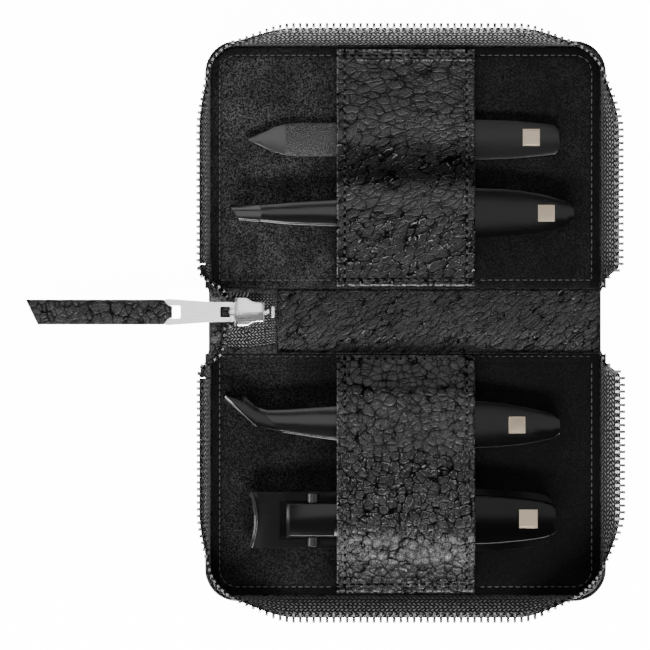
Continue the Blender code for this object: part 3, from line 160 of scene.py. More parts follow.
# %% A value in a finish
class Value:
    """One output in a finish's node tree, on which Python's operators work."""

    def __init__(self, finish, socket):
        self.finish = finish
        self.socket = socket

    def maths(self, operation, first, second=0.0):
        return self.finish.node("ShaderNodeMath", {"operation": operation}, {0: first, 1: second})

    def __add__(self, other):
        return self.maths("ADD", self, other)

    def __sub__(self, other):
        return self.maths("SUBTRACT", self, other)

    def __rsub__(self, other):
        return self.maths("SUBTRACT", other, self)

    def __mul__(self, other):
        return self.maths("MULTIPLY", self, other)

    def __truediv__(self, other):
        return self.maths("DIVIDE", self, other)

    def __abs__(self):
        return self.maths("ABSOLUTE", self)

    __radd__ = __add__
    __rmul__ = __mul__

    def part(self, axis):
        """One of a place's three numbers: 0 is X, 1 is Y."""
        return self.finish.node("ShaderNodeSeparateXYZ", {}, {0: self}, axis)

    def ramp(self, low, high, start=0.0, end=1.0):
        """Eased change from start to end while the value goes from low to high."""
        return self.finish.node("ShaderNodeMapRange", {"interpolation_type": "SMOOTHSTEP"},
                                {"Value": self, "From Min": low, "From Max": high,
                                 "To Min": start, "To Max": end})

    def wave(self, pitch):
        """A sine that comes back at each pitch, from -1 to 1."""
        return self.maths("SINE", self * (2 * math.pi / pitch))


# %% A finish that holds the values
def rgba(colour):
    """The four numbers of a colour; one number alone is a grey."""
    return (colour,) * 3 + (1.0,) if isinstance(colour, float) else (*colour, 1.0)


class Finish:
    """A material: a Principled shader, and the values that feed it."""

    def __init__(self, name, colour, roughness, metallic=0.0, **constants):
        self.material = bpy.data.materials.new(name)
        self.material.use_nodes = True
        self.tree = self.material.node_tree
        self.shader = self.tree.nodes["Principled BSDF"]
        self.shader.inputs["Base Color"].default_value = rgba(colour)
        self.shader.inputs["Roughness"].default_value = roughness
        self.shader.inputs["Metallic"].default_value = metallic
        for socket, value in constants.items():
            self.shader.inputs[socket.replace("_", " ")].default_value = value
        self.place = self.node("ShaderNodeTexCoord", output="Object")

    def node(self, kind, settings=None, inputs=None, output=0):
        """Add a node: its settings first, then each socket's value or link."""
        node = self.tree.nodes.new(kind)
        for key, value in (settings or {}).items():
            setattr(node, key, value)
        for key, value in (inputs or {}).items():
            if isinstance(value, Value):
                self.tree.links.new(value.socket, node.inputs[key])
            else:
                node.inputs[key].default_value = value
        return Value(self, node.outputs[output])

    def feed(self, socket, value):
        self.tree.links.new(value.socket, self.shader.inputs[socket])

    def stretched(self, length, turn=0.0, place=None):
        """Places on which a pattern grows that much longer, along X turned by an angle."""
        return self.node("ShaderNodeMapping", {"vector_type": "TEXTURE"},
                         {"Vector": place or self.place, "Rotation": (0.0, 0.0, turn),
                          "Scale": (length, 1.0, 1.0)})

    def noise(self, size, detail=2.0, place=None, output=0):
        """Soft noise whose patches are about one size across, from 0 to 1."""
        return self.node("ShaderNodeTexNoise", {}, {"Vector": place or self.place,
                         "Scale": 1.0 / size, "Detail": detail}, output)

    def brushed(self, size, length):
        """Fine lines along X, of a width and that many times as long."""
        return self.noise(size, 3.0, self.stretched(length))

    def cells(self, size, feature="F1", place=None, randomness=1.0, output="Distance"):
        """Cells about one size across: the way to their middles or to their edges."""
        inputs = {"Vector": place or self.place, "Scale": 1.0 / size, "Randomness": randomness}
        return self.node("ShaderNodeTexVoronoi", {"feature": feature}, inputs, output)

    def warped(self, size, reach, place=None):
        """Places pushed about by noise, so that a pattern loses its straight lines."""
        place = place or self.place
        push = self.node("ShaderNodeVectorMath", {"operation": "MULTIPLY_ADD"},
                         {0: self.noise(size, 2.0, place, "Color"), 1: (reach,) * 3,
                          2: (-reach / 2,) * 3})
        return self.node("ShaderNodeVectorMath", {"operation": "ADD"}, {0: place, 1: push})

    def mix(self, share, low, high):
        """Colour between two, by a share."""
        low, high = (colour if isinstance(colour, Value) else rgba(colour) for colour in (low, high))
        return self.node("ShaderNodeMix", {"data_type": "RGBA"}, {0: share, 6: low, 7: high}, 2)

    def shaded(self, share, colour):
        """Turn a share of the surface into painted shade, a colour that mirrors nothing."""
        painted_shade = self.tree.nodes.new("ShaderNodeBsdfPrincipled")
        painted_shade.inputs["Base Color"].default_value = rgba(colour)
        painted_shade.inputs["Roughness"].default_value = 1.0
        painted_shade.inputs["Specular IOR Level"].default_value = 0.05
        both = self.tree.nodes.new("ShaderNodeMixShader")
        self.tree.links.new(share.socket, both.inputs[0])
        self.tree.links.new(self.shader.outputs[0], both.inputs[1])
        self.tree.links.new(painted_shade.outputs[0], both.inputs[2])
        self.tree.links.new(both.outputs[0], self.tree.nodes["Material Output"].inputs["Surface"])

    def bump(self, height, depth):
        """Relief that many metres deep, seen in the light only."""
        self.feed("Normal", self.node("ShaderNodeBump", {}, {"Height": height, "Distance": depth}))


# %% [markdown]
# ## Leather
#
# Full-grain leather with a pebbled finish: small domed cells with creases between them. A
# Voronoi pattern has such cells; where the leather was pulled they are long, so the pattern
# is stretched, and the way to a cell's edge is put back into true lengths by looking which
# way its middle lies. The creases get painted shade, mixed in as a black that mirrors
# nothing, and each cell is painted darker towards its edges. Bands of painted shade darken
# the straps' slopes and the spine, with painted highlights as pale ridges beside the creases.
# Rubbed bands shine a little more, and bands of painted light are a little paler all over.
# A strap sags between the tools by less than its solid shows: those gentle slopes are
# relief with a start, an end and a rise, all along Y and in millimetres.

# %% Bands along a strap
# Colour of the painted highlights on ridges and of the bands of painted light.
PAINTED_LIGHT_TONE = (0.26, 0.26, 0.264)
CELL_RANDOMNESS = 0.95
PORE_SIZE, PATCH_SIZE = 0.38 * MM, 0.75 * MM
# Eases of the bands of painted shade, of painted light and of rubbed gloss.
SHADE_BAND_EASE, LIGHT_BAND_EASE, RUBBED_EASE = 4.0 * MM, 2.5 * MM, 5.0 * MM
PALE_EDGE_LINE = (-19.25 * MM, -18.95 * MM)
HEM_HALF, HOLE_HALF, LINE_EASE = 0.12 * MM, 0.25 * MM, 0.15 * MM
STRAP_PITCH = 2.2 * MM


def band(value, start, end, ease):
    """1 where a value lies between start and end, easing to 0 outside."""
    return value.ramp(start - ease, start) * (1.0 - value.ramp(end, end + ease))


def bands(y, table, ease):
    """Sum of bands along Y, each given in mm as (start, end, share)."""
    return sum((band(y, low * MM, high * MM, ease) * share for low, high, share in table), 0.0 * y)


def every(value, pitch):
    """1 over about half of each pitch and 0 over the rest."""
    return value.wave(pitch).ramp(-0.5, 0.1)


# %% Leather in several grains
def leather(name, cell, stretch=1.0, turn=0.0, gloss=0.25, tone=0.016, depth=0.24, dark=0.8, lean=None,
            sags=(), shade_bands=(), ridge_highlight=0.25, rubbed=(), light_bands=(), seams=None, hems=()):
    """Black pebbled leather with cells of a size in metres, longer along a direction."""
    finish = Finish(name, tone, gloss, Specular_IOR_Level=0.5)
    x, y = finish.place.part(0), finish.place.part(1)
    place = finish.warped(cell * 4.0, cell * 0.7)
    if lean:
        low, high, slope = lean
        rise = x * y.ramp(low * MM, high * MM, slope, 0.06)
        place = finish.node("ShaderNodeCombineXYZ", {}, {0: place.part(0), 1: place.part(1) - rise})
    place = finish.stretched(stretch, turn, place)
    place = finish.warped(cell * 0.3, cell * 0.14, finish.warped(cell * 0.9, cell * 0.4, place))
    edge = finish.cells(cell, "DISTANCE_TO_EDGE", place, CELL_RANDOMNESS)
    dome = finish.cells(cell, "F1", place, CELL_RANDOMNESS)
    away = finish.node("ShaderNodeVectorMath", {"operation": "SUBTRACT"},
                       {0: place, 1: finish.cells(cell, "F1", place, CELL_RANDOMNESS, "Position")})
    sideways, upright = abs(away.part(0)), abs(away.part(1))
    sideways = sideways / (sideways + upright + cell * 0.01)
    edge = edge * (1.0 + sideways * (stretch - 1.0))
    fade = finish.noise(cell * 1.6).ramp(0.38, 0.6, 0.5, 1.0) * (1.0 - 0.3 * sideways)
    # Painted shade in the creases, deepest where the cells meet.
    crease = (1.0 - edge.ramp(0.0, 0.12)) * fade * dark + dome.ramp(0.5, 0.85, 0.0, 0.3)
    # Painted highlight: a pale line on one side of each crease.
    ridge = band(edge, 0.09, 0.11, 0.04) * away.part(1).ramp(0.0, 0.25 * cell)
    small = finish.cells(cell * 0.4, "DISTANCE_TO_EDGE", finish.warped(cell * 0.4, cell * 0.3, place))
    small = (1.0 - small.ramp(0.02, 0.16)) * finish.noise(cell * 1.7, 2.0, place).ramp(0.4, 0.62, 0.0, 0.8)
    pores = finish.noise(PORE_SIZE).ramp(0.38, 0.62)
    patches = finish.noise(PATCH_SIZE).ramp(0.42, 0.58)
    # Bands of painted shade along Y: darker cells with paler ridges.
    zone = bands(y, shade_bands, SHADE_BAND_EASE)
    # Painted highlight on the ridges, fuller in the bands of painted shade.
    pale = ridge * (ridge_highlight * patches * (1.0 - zone) + zone * (0.15 + 0.85 * patches))
    for middle, share in hems:
        pale = pale + band(y - middle * MM, -HEM_HALF, HEM_HALF, LINE_EASE) * patches * share
    if seams:
        # A pale line along the strap's left edge.
        pale = pale + band(x, *PALE_EDGE_LINE, 0.1 * MM) * patches * 0.6
    # Painted shade in the colour: each cell darker towards its edge, small creases and the bands of painted
    # shade darker; pores vary the tone.
    shade = (0.3 + 0.7 * pores) * (1.0 - 0.5 * small) * (1.0 - 0.5 * zone) * dome.ramp(0.1, 0.7, 1.0, 0.75)
    colour = finish.mix(shade, 0.0005, tone * 1.7)
    # Painted light: bands where the cells are painted paler.
    colour = finish.mix(bands(y, light_bands, LIGHT_BAND_EASE) * shade, colour, PAINTED_LIGHT_TONE)
    finish.feed("Base Color", finish.mix(pale, colour, PAINTED_LIGHT_TONE))
    gleam = bands(y, rubbed, RUBBED_EASE)
    finish.feed("Roughness", pores * -0.12 + (gloss + 0.12) + zone * 0.06 - gleam)
    # Share of painted shade: creases, small creases, pores and the bands of painted shade, less where ridges
    # are painted pale.
    painted_shade = (crease * 0.95 + small * 0.25 + (1.0 - pores) * 0.2 + zone * 0.3) * (1.0 - pale * zone)
    if seams:
        aside, rows = seams
        # Stitch holes get painted shade: black in the mix.
        holes = band(abs(x) - aside * MM, -HOLE_HALF, HOLE_HALF, LINE_EASE) * every(y, STRAP_PITCH)
        for row in rows:
            holes = holes + band(y - row * MM, -HOLE_HALF, HOLE_HALF, LINE_EASE) * every(x, STRAP_PITCH)
        painted_shade = painted_shade.maths("MAXIMUM", painted_shade, holes)
    finish.shaded(painted_shade, 0.0004)
    height = (edge.ramp(0.0, 0.26) * 0.6 - dome * dome * 0.8 - small * 0.3 + pores * 0.32) * depth
    for low, high, rise in sags:
        height = height + y.ramp(low * MM, high * MM, 0.0, rise)
    finish.bump(height, MM)
    return finish.material


# %% The case's leathers
# In mm along Y: sags are (start, end, rise), bands are (start, end, share), seams are the
# way of the long seams from the middle and the places of the short ones, and hems are
# (place, share of pale edge).
# Shade bands are painted shade with painted highlight ridges; light bands are painted light.
UPPER = {
    "sags": ((10.5, 22.0, -4.2), (22.5, 31.0, 1.3), (43.5, 50.0, -1.5)),
    "shade_bands": ((12.0, 28.0, 1.0), (39.0, 48.0, 0.9)),
    "seams": (17.0, (11.8, 74.2)),
    "hems": ((75.7, 1.0), (72.8, 1.0), (10.0, 1.0)),
}
LOWER = {
    "sags": ((-74.0, -71.0, 0.7), (-65.9, -64.9, 0.045), (-64.9, -63.4, 0.22), (-63.4, -59.5, 1.06),
             (-59.5, -57.5, 0.44), (-57.5, -54.0, 0.5), (-54.0, -44.0, 1.1), (-44.0, -36.0, 0.6),
             (-21.0, -19.7, 0.165), (-19.7, -18.3, 0.385), (-18.3, -17.0, 0.52), (-17.0, -14.3, 1.21),
             (-14.3, -13.0, 0.45), (-13.0, -11.8, 0.21)),
    "shade_bands": ((-55.0, -38.0, 0.75),),
    "rubbed": ((-68.0, -60.0, 0.08),),
    # Painted light: the first band lifts a slope that the near lamp leaves in shadow, the second paints the
    # sheen on the near slope.
    "light_bands": ((-16.8, -8.0, 0.25), (-66.5, -61.0, 0.34)),
    "seams": (17.0, (-10.5, -73.6)),
    "hems": ((-9.6, 1.0), (-75.5, 0.6)),
}
SPINE = {"sags": ((-8.5, -1.0, 0.9), (4.0, 8.5, -0.3)), "shade_bands": ((-9.0, 9.0, 0.5),), "ridge_highlight": 0.5}
cover_leather = leather("grained leather, cover", 1.6 * MM, tone=0.11, depth=0.13, dark=0.7)
spine_leather = leather("grained leather, spine", 1.2 * MM, 3.2, math.radians(37), dark=1.1, **SPINE)
upper_strap_leather = leather("strap leather, long grain", 1.9 * MM, 1.7, lean=(42, 62, 0.4), **UPPER)
lower_strap_leather = leather("strap leather, round grain", 2.3 * MM, gloss=0.2, depth=0.28, dark=0.9,
                              **LOWER)
tab_leather = leather("grained leather, pull tab", 2.4 * MM, gloss=0.28)
print("leathers", len([m for m in bpy.data.materials if "leather" in m.name]))

# %% [markdown]
# ## Suede, board and thread
#
# The lining is black microsuede. Its nap swallows light, lies this way and that in
# cloudy patches, is paler towards the zip's end on the left and over the upper half, and
# shows single fibres as fine bright grain. It gets painted shade near its edges, where
# the wall of tape shades it. A sheen lobe gives the soft edge that cloth shows from low angles.

# %% Suede, board, thread
def suede():
    finish = Finish("suede lining", 0.01, 0.95, Specular_IOR_Level=0.03, Sheen_Weight=0.05,
                    Sheen_Roughness=0.6)
    x, y = finish.place.part(0), finish.place.part(1)
    fibres = finish.noise(PORE_SIZE, 3.0)
    clouds = finish.noise(9.0 * MM, 4.0).ramp(0.35, 0.7)
    # Paler towards the left and over the upper half.
    across = x.ramp(-60 * MM, 20 * MM, 1.0, 0.2)
    upwards = y.ramp(-5 * MM, 10 * MM, 0.4, 1.0)
    # Painted shade: darker near the lining's edges, under the wall of tape.
    edge = abs(x).ramp(50.6 * MM, 52.6 * MM, 1.0, 0.3) * abs(y).ramp(72.8 * MM, 74.6 * MM, 1.0, 0.3)
    share = fibres.ramp(0.36, 0.72) * across * upwards * (0.5 + 0.5 * clouds) * edge
    finish.feed("Base Color", finish.mix(share, 0.0012, (0.09, 0.09, 0.0935)))
    finish.bump(fibres + clouds * 0.4, 0.12 * MM)
    return finish.material


def fibrous(name, dark, pale, roughness, fibre, detail, depth, **constants):
    """Matt stuff of fine fibres between two colours."""
    finish = Finish(name, dark, roughness, **constants)
    fibres = finish.noise(fibre, detail)
    finish.feed("Base Color", finish.mix(fibres, dark, pale))
    finish.bump(fibres, depth)
    return finish.material


def thread(name, tone):
    return fibrous(name, tone * 0.5, tone * 1.5, 0.6, 0.12 * MM, 2.0, 0.04 * MM, Sheen_Weight=0.3)


suede_lining = suede()
stiffener = fibrous("stiffener board", (0.03, 0.027, 0.024), (0.07, 0.062, 0.052), 0.9, 0.6 * MM, 4.0,
                    0.05 * MM)
grey_thread = thread("grey thread", 0.035)
black_thread = thread("black thread", 0.002)
print("finishes", len(bpy.data.materials))

# %% [markdown]
# ## Woven zip tape
#
# Zip tape is a herringbone weave: narrow columns of slanting yarns that lean one way and
# then the other. The tape carries its own coordinates in metres, along and across it, in
# a UV map, so the weave follows every bend. A triangle wave across the tape mirrors the
# slant, and a sine over both directions draws the yarns.

# %% Herringbone tape
YARN, FLAT_YARN = 1.26 * MM, 0.98 * MM
COLUMN = 2.1 * MM
TAPE_FOOT = (11.0 * MM, 14.5 * MM)


def tape_weave(name, yarn_size, pale):
    finish = Finish(name, 0.02, 0.8, Specular_IOR_Level=0.25, Sheen_Weight=0.1)
    flat = finish.node("ShaderNodeUVMap", {"uv_map": "flat"})
    along, across = flat.part(0), flat.part(1)
    slant = across.maths("PINGPONG", across, COLUMN / 2)
    yarn = (along + slant * 1.3).wave(yarn_size)
    cross = across.wave(yarn_size * 0.75)
    fuzz = finish.noise(0.5 * MM, 3.0)
    height = yarn.ramp(-0.7, 0.8) * (0.6 + 0.3 * cross) * fuzz.ramp(0.3, 0.5, 0.3, 1.0) + fuzz * 0.35
    # Painted shade: the weave is darker beyond TAPE_FOOT across the tape, where the lining's edge shades it.
    share = height.ramp(0.35, 1.0) * across.ramp(*TAPE_FOOT, 1.0, 0.3)
    finish.feed("Base Color", finish.mix(share, 0.0006, (pale, pale, pale * 1.01)))
    finish.bump(height, 0.22 * MM)
    return finish.material


zip_tape = tape_weave("zip tape", YARN, 0.36)
flat_tape = tape_weave("zip tape, flat", FLAT_YARN, 0.22)
print("yarns to a centimetre", [round(10 * MM / size, 1) for size in (YARN, FLAT_YARN)])

# %% [markdown]
# ## Metals
#
# Three metals show. The zip's teeth are bright nickel, with painted shade on their sides,
# heads and rims. The slider and the pull plate are satin: their polish is softened by fine
# lines, which stretched noise draws as small changes of roughness. The tools are brushed
# steel with a black coating, which keeps the brushed lines and catches light on its edges.

# %% Nickel and satin metal
def nickel():
    """Bright nickel, painted dark as shade where the mesh's own map says so."""
    finish = Finish("zip metal", (0.78, 0.78, 0.77), 0.2, 1.0)
    painted_tooth_shade = finish.node("ShaderNodeAttribute", {"attribute_name": "painted_tooth_shade"}, {}, 2)
    finish.feed("Base Color", finish.mix(painted_tooth_shade, (0.8, 0.8, 0.79), 0.012))
    finish.feed("Roughness", finish.noise(0.5 * MM).ramp(0.3, 0.7, 0.14, 0.34))
    return finish.material


def satin(name, tone, rough, shaded_band=None):
    """Metal with fine lines; a band, given by its two ends along X in mm, gets painted shade."""
    finish = Finish(name, tone, rough, 1.0)
    if shaded_band:
        low, high = shaded_band
        shadow = band(finish.place.part(0), low * MM, high * MM, 0.5 * MM)
        finish.feed("Base Color", finish.mix(shadow, tone, tone * 0.25))
    lines = finish.brushed(0.16 * MM, 50.0)
    finish.feed("Roughness", lines.ramp(0.3, 0.7, rough - 0.05, rough + 0.08))
    finish.bump(lines, 0.004 * MM)
    return finish.material


# %% Black steel
BLADE_ENDS = (-18.0, 18.0)
STEEL_LINE, STEEL_LENGTH = 0.14 * MM, 80.0


def black_steel(name, middle, crown=0.028, lean=0.12, tone=0.034, rough=0.2, handle=0.38, ground=None):
    """Black coated steel, brushed along X, crowned across its blade about a middle line.

    Ground faces are given as a function that returns the bare edge and the flat facet."""
    finish = Finish(name, tone, rough, 0.85, Specular_IOR_Level=0.4)
    lines = finish.brushed(STEEL_LINE, STEEL_LENGTH)
    finish.feed("Roughness", lines.ramp(0.3, 0.72, rough - 0.03, rough + 0.05))
    along = finish.place.part(0) * (1.0 / MM)
    aside = (finish.place.part(1) - middle * MM) * (1.0 / MM)
    blade = along.ramp(*BLADE_ENDS)
    shade = (lines * 0.3 + 0.85) * (1.0 - blade * (1.0 - handle))
    rise = lean * aside * (1.0 - 0.6 * blade) - aside * aside * (1.0 - 0.75 * blade) * crown
    colour = finish.mix(shade, 0.0, tone)
    if ground:
        edge, facet, pale = ground(along, aside)
        colour = finish.mix(facet, colour, finish.mix(lines, pale * 0.85, pale * 1.15))
        colour = finish.mix(edge, colour, 0.6)
        rise = rise * (1.0 - facet * 0.8)
    finish.feed("Base Color", colour)
    finish.bump(lines * 0.002 + rise, MM)
    return finish.material


# %% Ground faces and the file
GRIT_START, HANDLE_HALF = -33.6 * MM, 2.0 * MM


def nipper_edge(along, aside):
    """A bare cutting edge that slants back, and the flat ground beside it."""
    back = along * 0.703 + aside * 0.711 + 29.77
    return band(back, -0.5, 0.12, 0.06), 1.0 - back.ramp(4.0, 4.15), 0.02


def ground_end(start, soft, oval, pale):
    """A flat facet from the tip to a start in mm, which ends in an oval; no bare edge."""
    def ground(along, aside):
        back = along + aside * aside * oval
        return 0.0 * back, 1.0 - back.ramp(start, start + soft), pale
    return ground


def file_steel():
    """Black steel whose blade is ground grey at the tip and coated with grit behind it."""
    finish = Finish("file steel", 0.05, 0.4, 0.8)
    along = finish.place.part(0)
    handle = along.ramp(-HANDLE_HALF, HANDLE_HALF)
    grit = along.ramp(GRIT_START - 0.1 * MM, GRIT_START + 0.1 * MM) * (1.0 - handle)
    grains = finish.noise(0.3 * MM, 3.0).ramp(0.35, 0.75)
    lines = finish.brushed(STEEL_LINE, STEEL_LENGTH)
    blade = finish.mix(grit, finish.mix(lines, 0.06, 0.077), finish.mix(grains, 0.024, 0.14))
    finish.feed("Base Color", finish.mix(handle, blade, finish.mix(lines, 0.015, 0.025)))
    finish.feed("Roughness", 0.36 + grit * 0.3)
    finish.bump(grains * grit + lines * 0.1, 0.05 * MM)
    return finish.material


# %% The case's metals
zip_metal = nickel()
slider_metal = satin("slider metal", 0.78, 0.22)
pull_metal = satin("pull metal", 0.92, 0.24)
tweezers_steel = black_steel("tweezers steel", 30.2, ground=ground_end(-40.3, 0.3, 0.12, 0.05))
nipper_steel = black_steel("nipper steel", -29.0, lean=0.15, ground=nipper_edge)
clipper_steel = black_steel("clipper steel", -55.5, 0.0, 0.06, 0.022,
                            ground=ground_end(-41.4, 0.1, 0.023, 0.15))
lever_steel = black_steel("lever steel", -55.5, 0.012, 0.09, 0.02, ground=ground_end(-32.5, 0.2, 0.0, 0.06))
file_metal = file_steel()
# The pin gets a band of painted shade across its middle.
pin_steel = satin("pin steel", 0.2, 0.3, (-26.6, -24.9))
bronze = satin("bronze inlay", (0.45, 0.37, 0.28), 0.42)
print("finishes", len(bpy.data.materials))

# %% [markdown]
# ## Floor
#
# A plain white table. It is a stage, not a piece of the case. It glows so that it comes
# out white, but its glow doesn't fall on the case, which only the soft boxes light.

# %% Table
TABLE_HALF, TABLE_TOP = 20.0, -0.02 * MM
CORNERS = ((-1, -1), (1, -1), (1, 1), (-1, 1))
table_finish = Finish("table", 0.92, 0.9, Specular_IOR_Level=0.0, Emission_Strength=14.0,
                      Emission_Color=WHITE)
mesh = bpy.data.meshes.new("table")
mesh.from_pydata([(sx * TABLE_HALF, sy * TABLE_HALF, TABLE_TOP) for sx, sy in CORNERS], [], [(0, 1, 2, 3)])
mesh.materials.append(table_finish.material)
table = add_object("table", mesh)
table.visible_diffuse = False
table.visible_glossy = False
table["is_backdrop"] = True
print("table", table.name)

# %% [markdown]
# ## Building pieces
#
# Most soft pieces are skins: rows of points, joined into quads. A skin can carry a map
# of its own flat sizes for a weave. Where a piece lies on another, its height comes from
# a ray that is dropped on the CAD node below it, so it follows the CAD when that changes.

# %% Skins
def add_piece(name, shape, finish, smooth=50.0):
    """Turn a bmesh into an object whose edges stay sharp above an angle in degrees."""
    bmesh.ops.recalc_face_normals(shape, faces=shape.faces)
    mesh = bpy.data.meshes.new(name)
    shape.to_mesh(mesh)
    shape.free()
    mesh.materials.append(finish)
    mesh.shade_smooth()
    if smooth < 180.0:
        mesh.set_sharp_from_angle(angle=math.radians(smooth))
    return add_object(name, mesh)


def round_edges(piece, width, sharp=30.0, harden=False):
    """Bevel the edges that turn by more than an angle."""
    bevel = piece.modifiers.new("edges", "BEVEL")
    bevel.width = width
    bevel.segments = 2
    bevel.limit_method = "ANGLE"
    bevel.angle_limit = math.radians(sharp)
    bevel.harden_normals = harden


def run_lengths(line):
    """How far along a line of points each one lies."""
    return np.concatenate([[0.0], np.cumsum([(b - a).length for a, b in zip(line, line[1:])])])


def skin(rows, shape=None):
    """Quads through rows of points; each row is a ring, and the end rings are filled.

    The map "flat" holds the way along the rows and round the rings, in metres."""
    shape = shape or bmesh.new()
    flat = shape.loops.layers.uv.get("flat") or shape.loops.layers.uv.new("flat")
    count = len(rows[0])
    along = run_lengths([row[0] for row in rows])
    ring = rows[len(rows) // 2]
    across = run_lengths(ring + ring[:1])
    loops = [[shape.verts.new(p) for p in row] for row in rows]
    for a in range(len(rows) - 1):
        for i in range(count):
            j = (i + 1) % count
            face = shape.faces.new((loops[a][i], loops[a][j], loops[a + 1][j], loops[a + 1][i]))
            for corner, (r, c) in zip(face.loops, ((a, i), (a, i + 1), (a + 1, i + 1), (a + 1, i))):
                corner[flat].uv = (along[r], across[c])
    shape.faces.new(list(reversed(loops[0])))
    shape.faces.new(loops[-1])
    return shape


# %% Dropping, hanging and baking
def caster(node):
    """A function that drops a ray from above on a CAD node and returns the height it hits."""
    source = nodes[node].data
    source.calc_loop_triangles()
    tree = BVHTree.FromPolygons([v.co for v in source.vertices],
                                [t.vertices[:] for t in source.loop_triangles])
    return lambda x, y: tree.ray_cast(Vector((x, y, 1.0)), Vector((0.0, 0.0, -1.0)))[0].z


def settle(piece, body, slot, *replaced):
    """Hang a piece on its body and hide what it stands for; the slot is not used."""
    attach(piece, body)
    if replaced:
        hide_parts(*replaced)
    return piece


def bend(piece, name, side, slot, *replaced):
    """Bake a piece's place into its mesh and hide what it stands for; its name, side and slot are not used.
    """
    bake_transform(piece)
    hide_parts(*replaced)


# %% [markdown]
# ## Hard pieces keep their CAD shape
#
# The model file cuts every flat face into triangles, and a bevel needs whole faces. So a
# hard piece is a copy of its CAD node whose seams are welded and whose flat faces are
# made whole again. A Bevel then rounds its edges, and those catch the light.

# %% Polish the CAD's own pieces
SHARP = 34.0
WELD, FLAT = 0.003 * MM, math.radians(0.3)


def polish(name, node, body, finish, slot, width):
    """Copy of a CAD node with whole faces and fine rounded edges."""
    shape = bmesh.new()
    shape.from_mesh(nodes[node].data)
    bmesh.ops.remove_doubles(shape, verts=shape.verts, dist=WELD)
    bmesh.ops.dissolve_limit(shape, angle_limit=FLAT, verts=shape.verts, edges=shape.edges)
    piece = add_piece(name, shape, finish, SHARP)
    round_edges(piece, width, SHARP, harden=True)
    return settle(piece, body, slot, node)


polished = [polish(name, node, body, finish, slot, width * MM) for name, node, body, finish, slot, width in (
    ("slider_shell", "slider_body", "slider", slider_metal, "slider_metal", 0.12),
    ("pull_metal_plate", "pull_plate", "pull", pull_metal, "pull_metal", 0.2),
    ("bottom_stop", "zip_bottom_stop", "spine", zip_metal, "zip_metal", 0.35),
    ("joined_teeth", "zip_tail_chain", "spine", zip_metal, "zip_metal", 0.2),
    ("file_steel", "nail_file", "file", file_metal, "black_steel", 0.14),
    ("tweezers_lower", "tweezers_lower_leaf", "tweezers", tweezers_steel, "black_steel", 0.12),
    ("tweezers_upper", "tweezers_upper_leaf", "tweezers_leaf", tweezers_steel, "black_steel", 0.12),
    ("nipper_lower", "nipper_lower_leaf", "nipper", nipper_steel, "black_steel", 0.12),
    ("nipper_upper", "nipper_upper_leaf", "nipper_leaf", nipper_steel, "black_steel", 0.12),
    ("clipper_base", "clipper_lower_jaw", "clipper", clipper_steel, "black_steel", 0.12),
    ("clipper_top", "clipper_upper_jaw", "clipper_jaw", clipper_steel, "black_steel", 0.14),
    ("clipper_arm", "clipper_lever", "lever", lever_steel, "black_steel", 0.18),
    ("clipper_cross_pin", "clipper_pin", "clipper_jaw", pin_steel, "pin_steel", 0.2),
    ("board_lower", "stiffener_board_lower", "half_lower", stiffener, "stiffener_board", 0.05),
    ("board_upper", "stiffener_board_upper", "half_upper", stiffener, "stiffener_board", 0.05),
)]
print("polished pieces", len(polished))

# %% [markdown]
# ## The slider's roof
#
# The roof is a sheet bent over a ridge, with the outline of the slider below it. One side
# is nearly flat, the other rounds off. Rows across it carry its width; the narrow nose at
# its front passes down through the pull's slot and leaves room for the pull's end bar.

# %% Slider roof
ZIP_Y = 2.5 * MM
# Place along X, half width and top, in mm.
ROOF_ROWS = ((-49.5, 0.2, 6.7), (-49.35, 0.62, 7.0), (-48.95, 0.95, 7.3), (-48.93, 0.97, 7.3),
             (-47.8, 1.25, 7.5), (-47.78, 1.3, 7.5), (-47.42, 3.5, 7.05), (-47.3, 3.85, 7.25),
             (-47.1, 4.0, 7.5), (-46.9, 4.05, 7.6), (-44.7, 4.05, 7.6), (-44.2, 3.95, 7.6),
             (-43.5, 3.55, 7.6), (-42.9, 3.15, 7.6), (-42.3, 2.92, 7.6), (-41.6, 2.85, 7.6),
             (-39.95, 2.82, 7.6), (-39.75, 2.75, 7.5), (-39.68, 2.6, 7.3))
ROOF_SHARES = (-1.0, -0.97, -0.93, -0.8, -0.65, -0.5, -0.35, -0.2, -0.06, -0.025, 0.0, 0.025, 0.06, 0.3,
               0.6, 0.9, 0.95, 0.98, 1.0)
ROOF_UNDER, BAR_ROOM, BAR_ENDS = 5.45, 6.85, (-48.93, -47.8)
ROOF_ROUND, ROOF_DROP = 0.3, 0.25


# %% Bend the roof over its ridge
def roof_height(aside):
    """Height from the ridge, in mm, at a way from it: a flat side and a rounded one."""
    if abs(aside) < 0.01:
        return -0.1
    if aside > 0.0:
        return -0.11 * aside
    return 0.02 * aside - 0.05 * aside * aside


rows = []
for x, half, top in ROOF_ROWS:
    low = BAR_ROOM if BAR_ENDS[0] <= x <= BAR_ENDS[1] else ROOF_UNDER
    row = []
    for share in ROOF_SHARES:
        edge = max(abs(share) * half - (half - ROOF_ROUND), 0.0) / ROOF_ROUND
        drop = ROOF_DROP * (1.0 - math.sqrt(max(1.0 - edge * edge, 0.0)))
        row.append((share * half, top + roof_height(share * half) - drop))
    row += [(half, low), (-half, low)]
    rows.append([Vector((x * MM, ZIP_Y + y * MM, z * MM)) for y, z in row])
roof = settle(add_piece("slider_roof", skin(rows), slider_metal, 32), "slider", "slider_metal", "slider_cap")
print(roof.name, len(roof.data.vertices), "points")

# %% [markdown]
# ## The case's own sizes
#
# Finer meshes need the sizes that the solids were built from, so the few that they share
# are repeated here: how far the linings reach, where the zip's tape stands, and how far
# it leans out on each side, in mm over the length of tape and tooth. They are the CAD's
# own values.

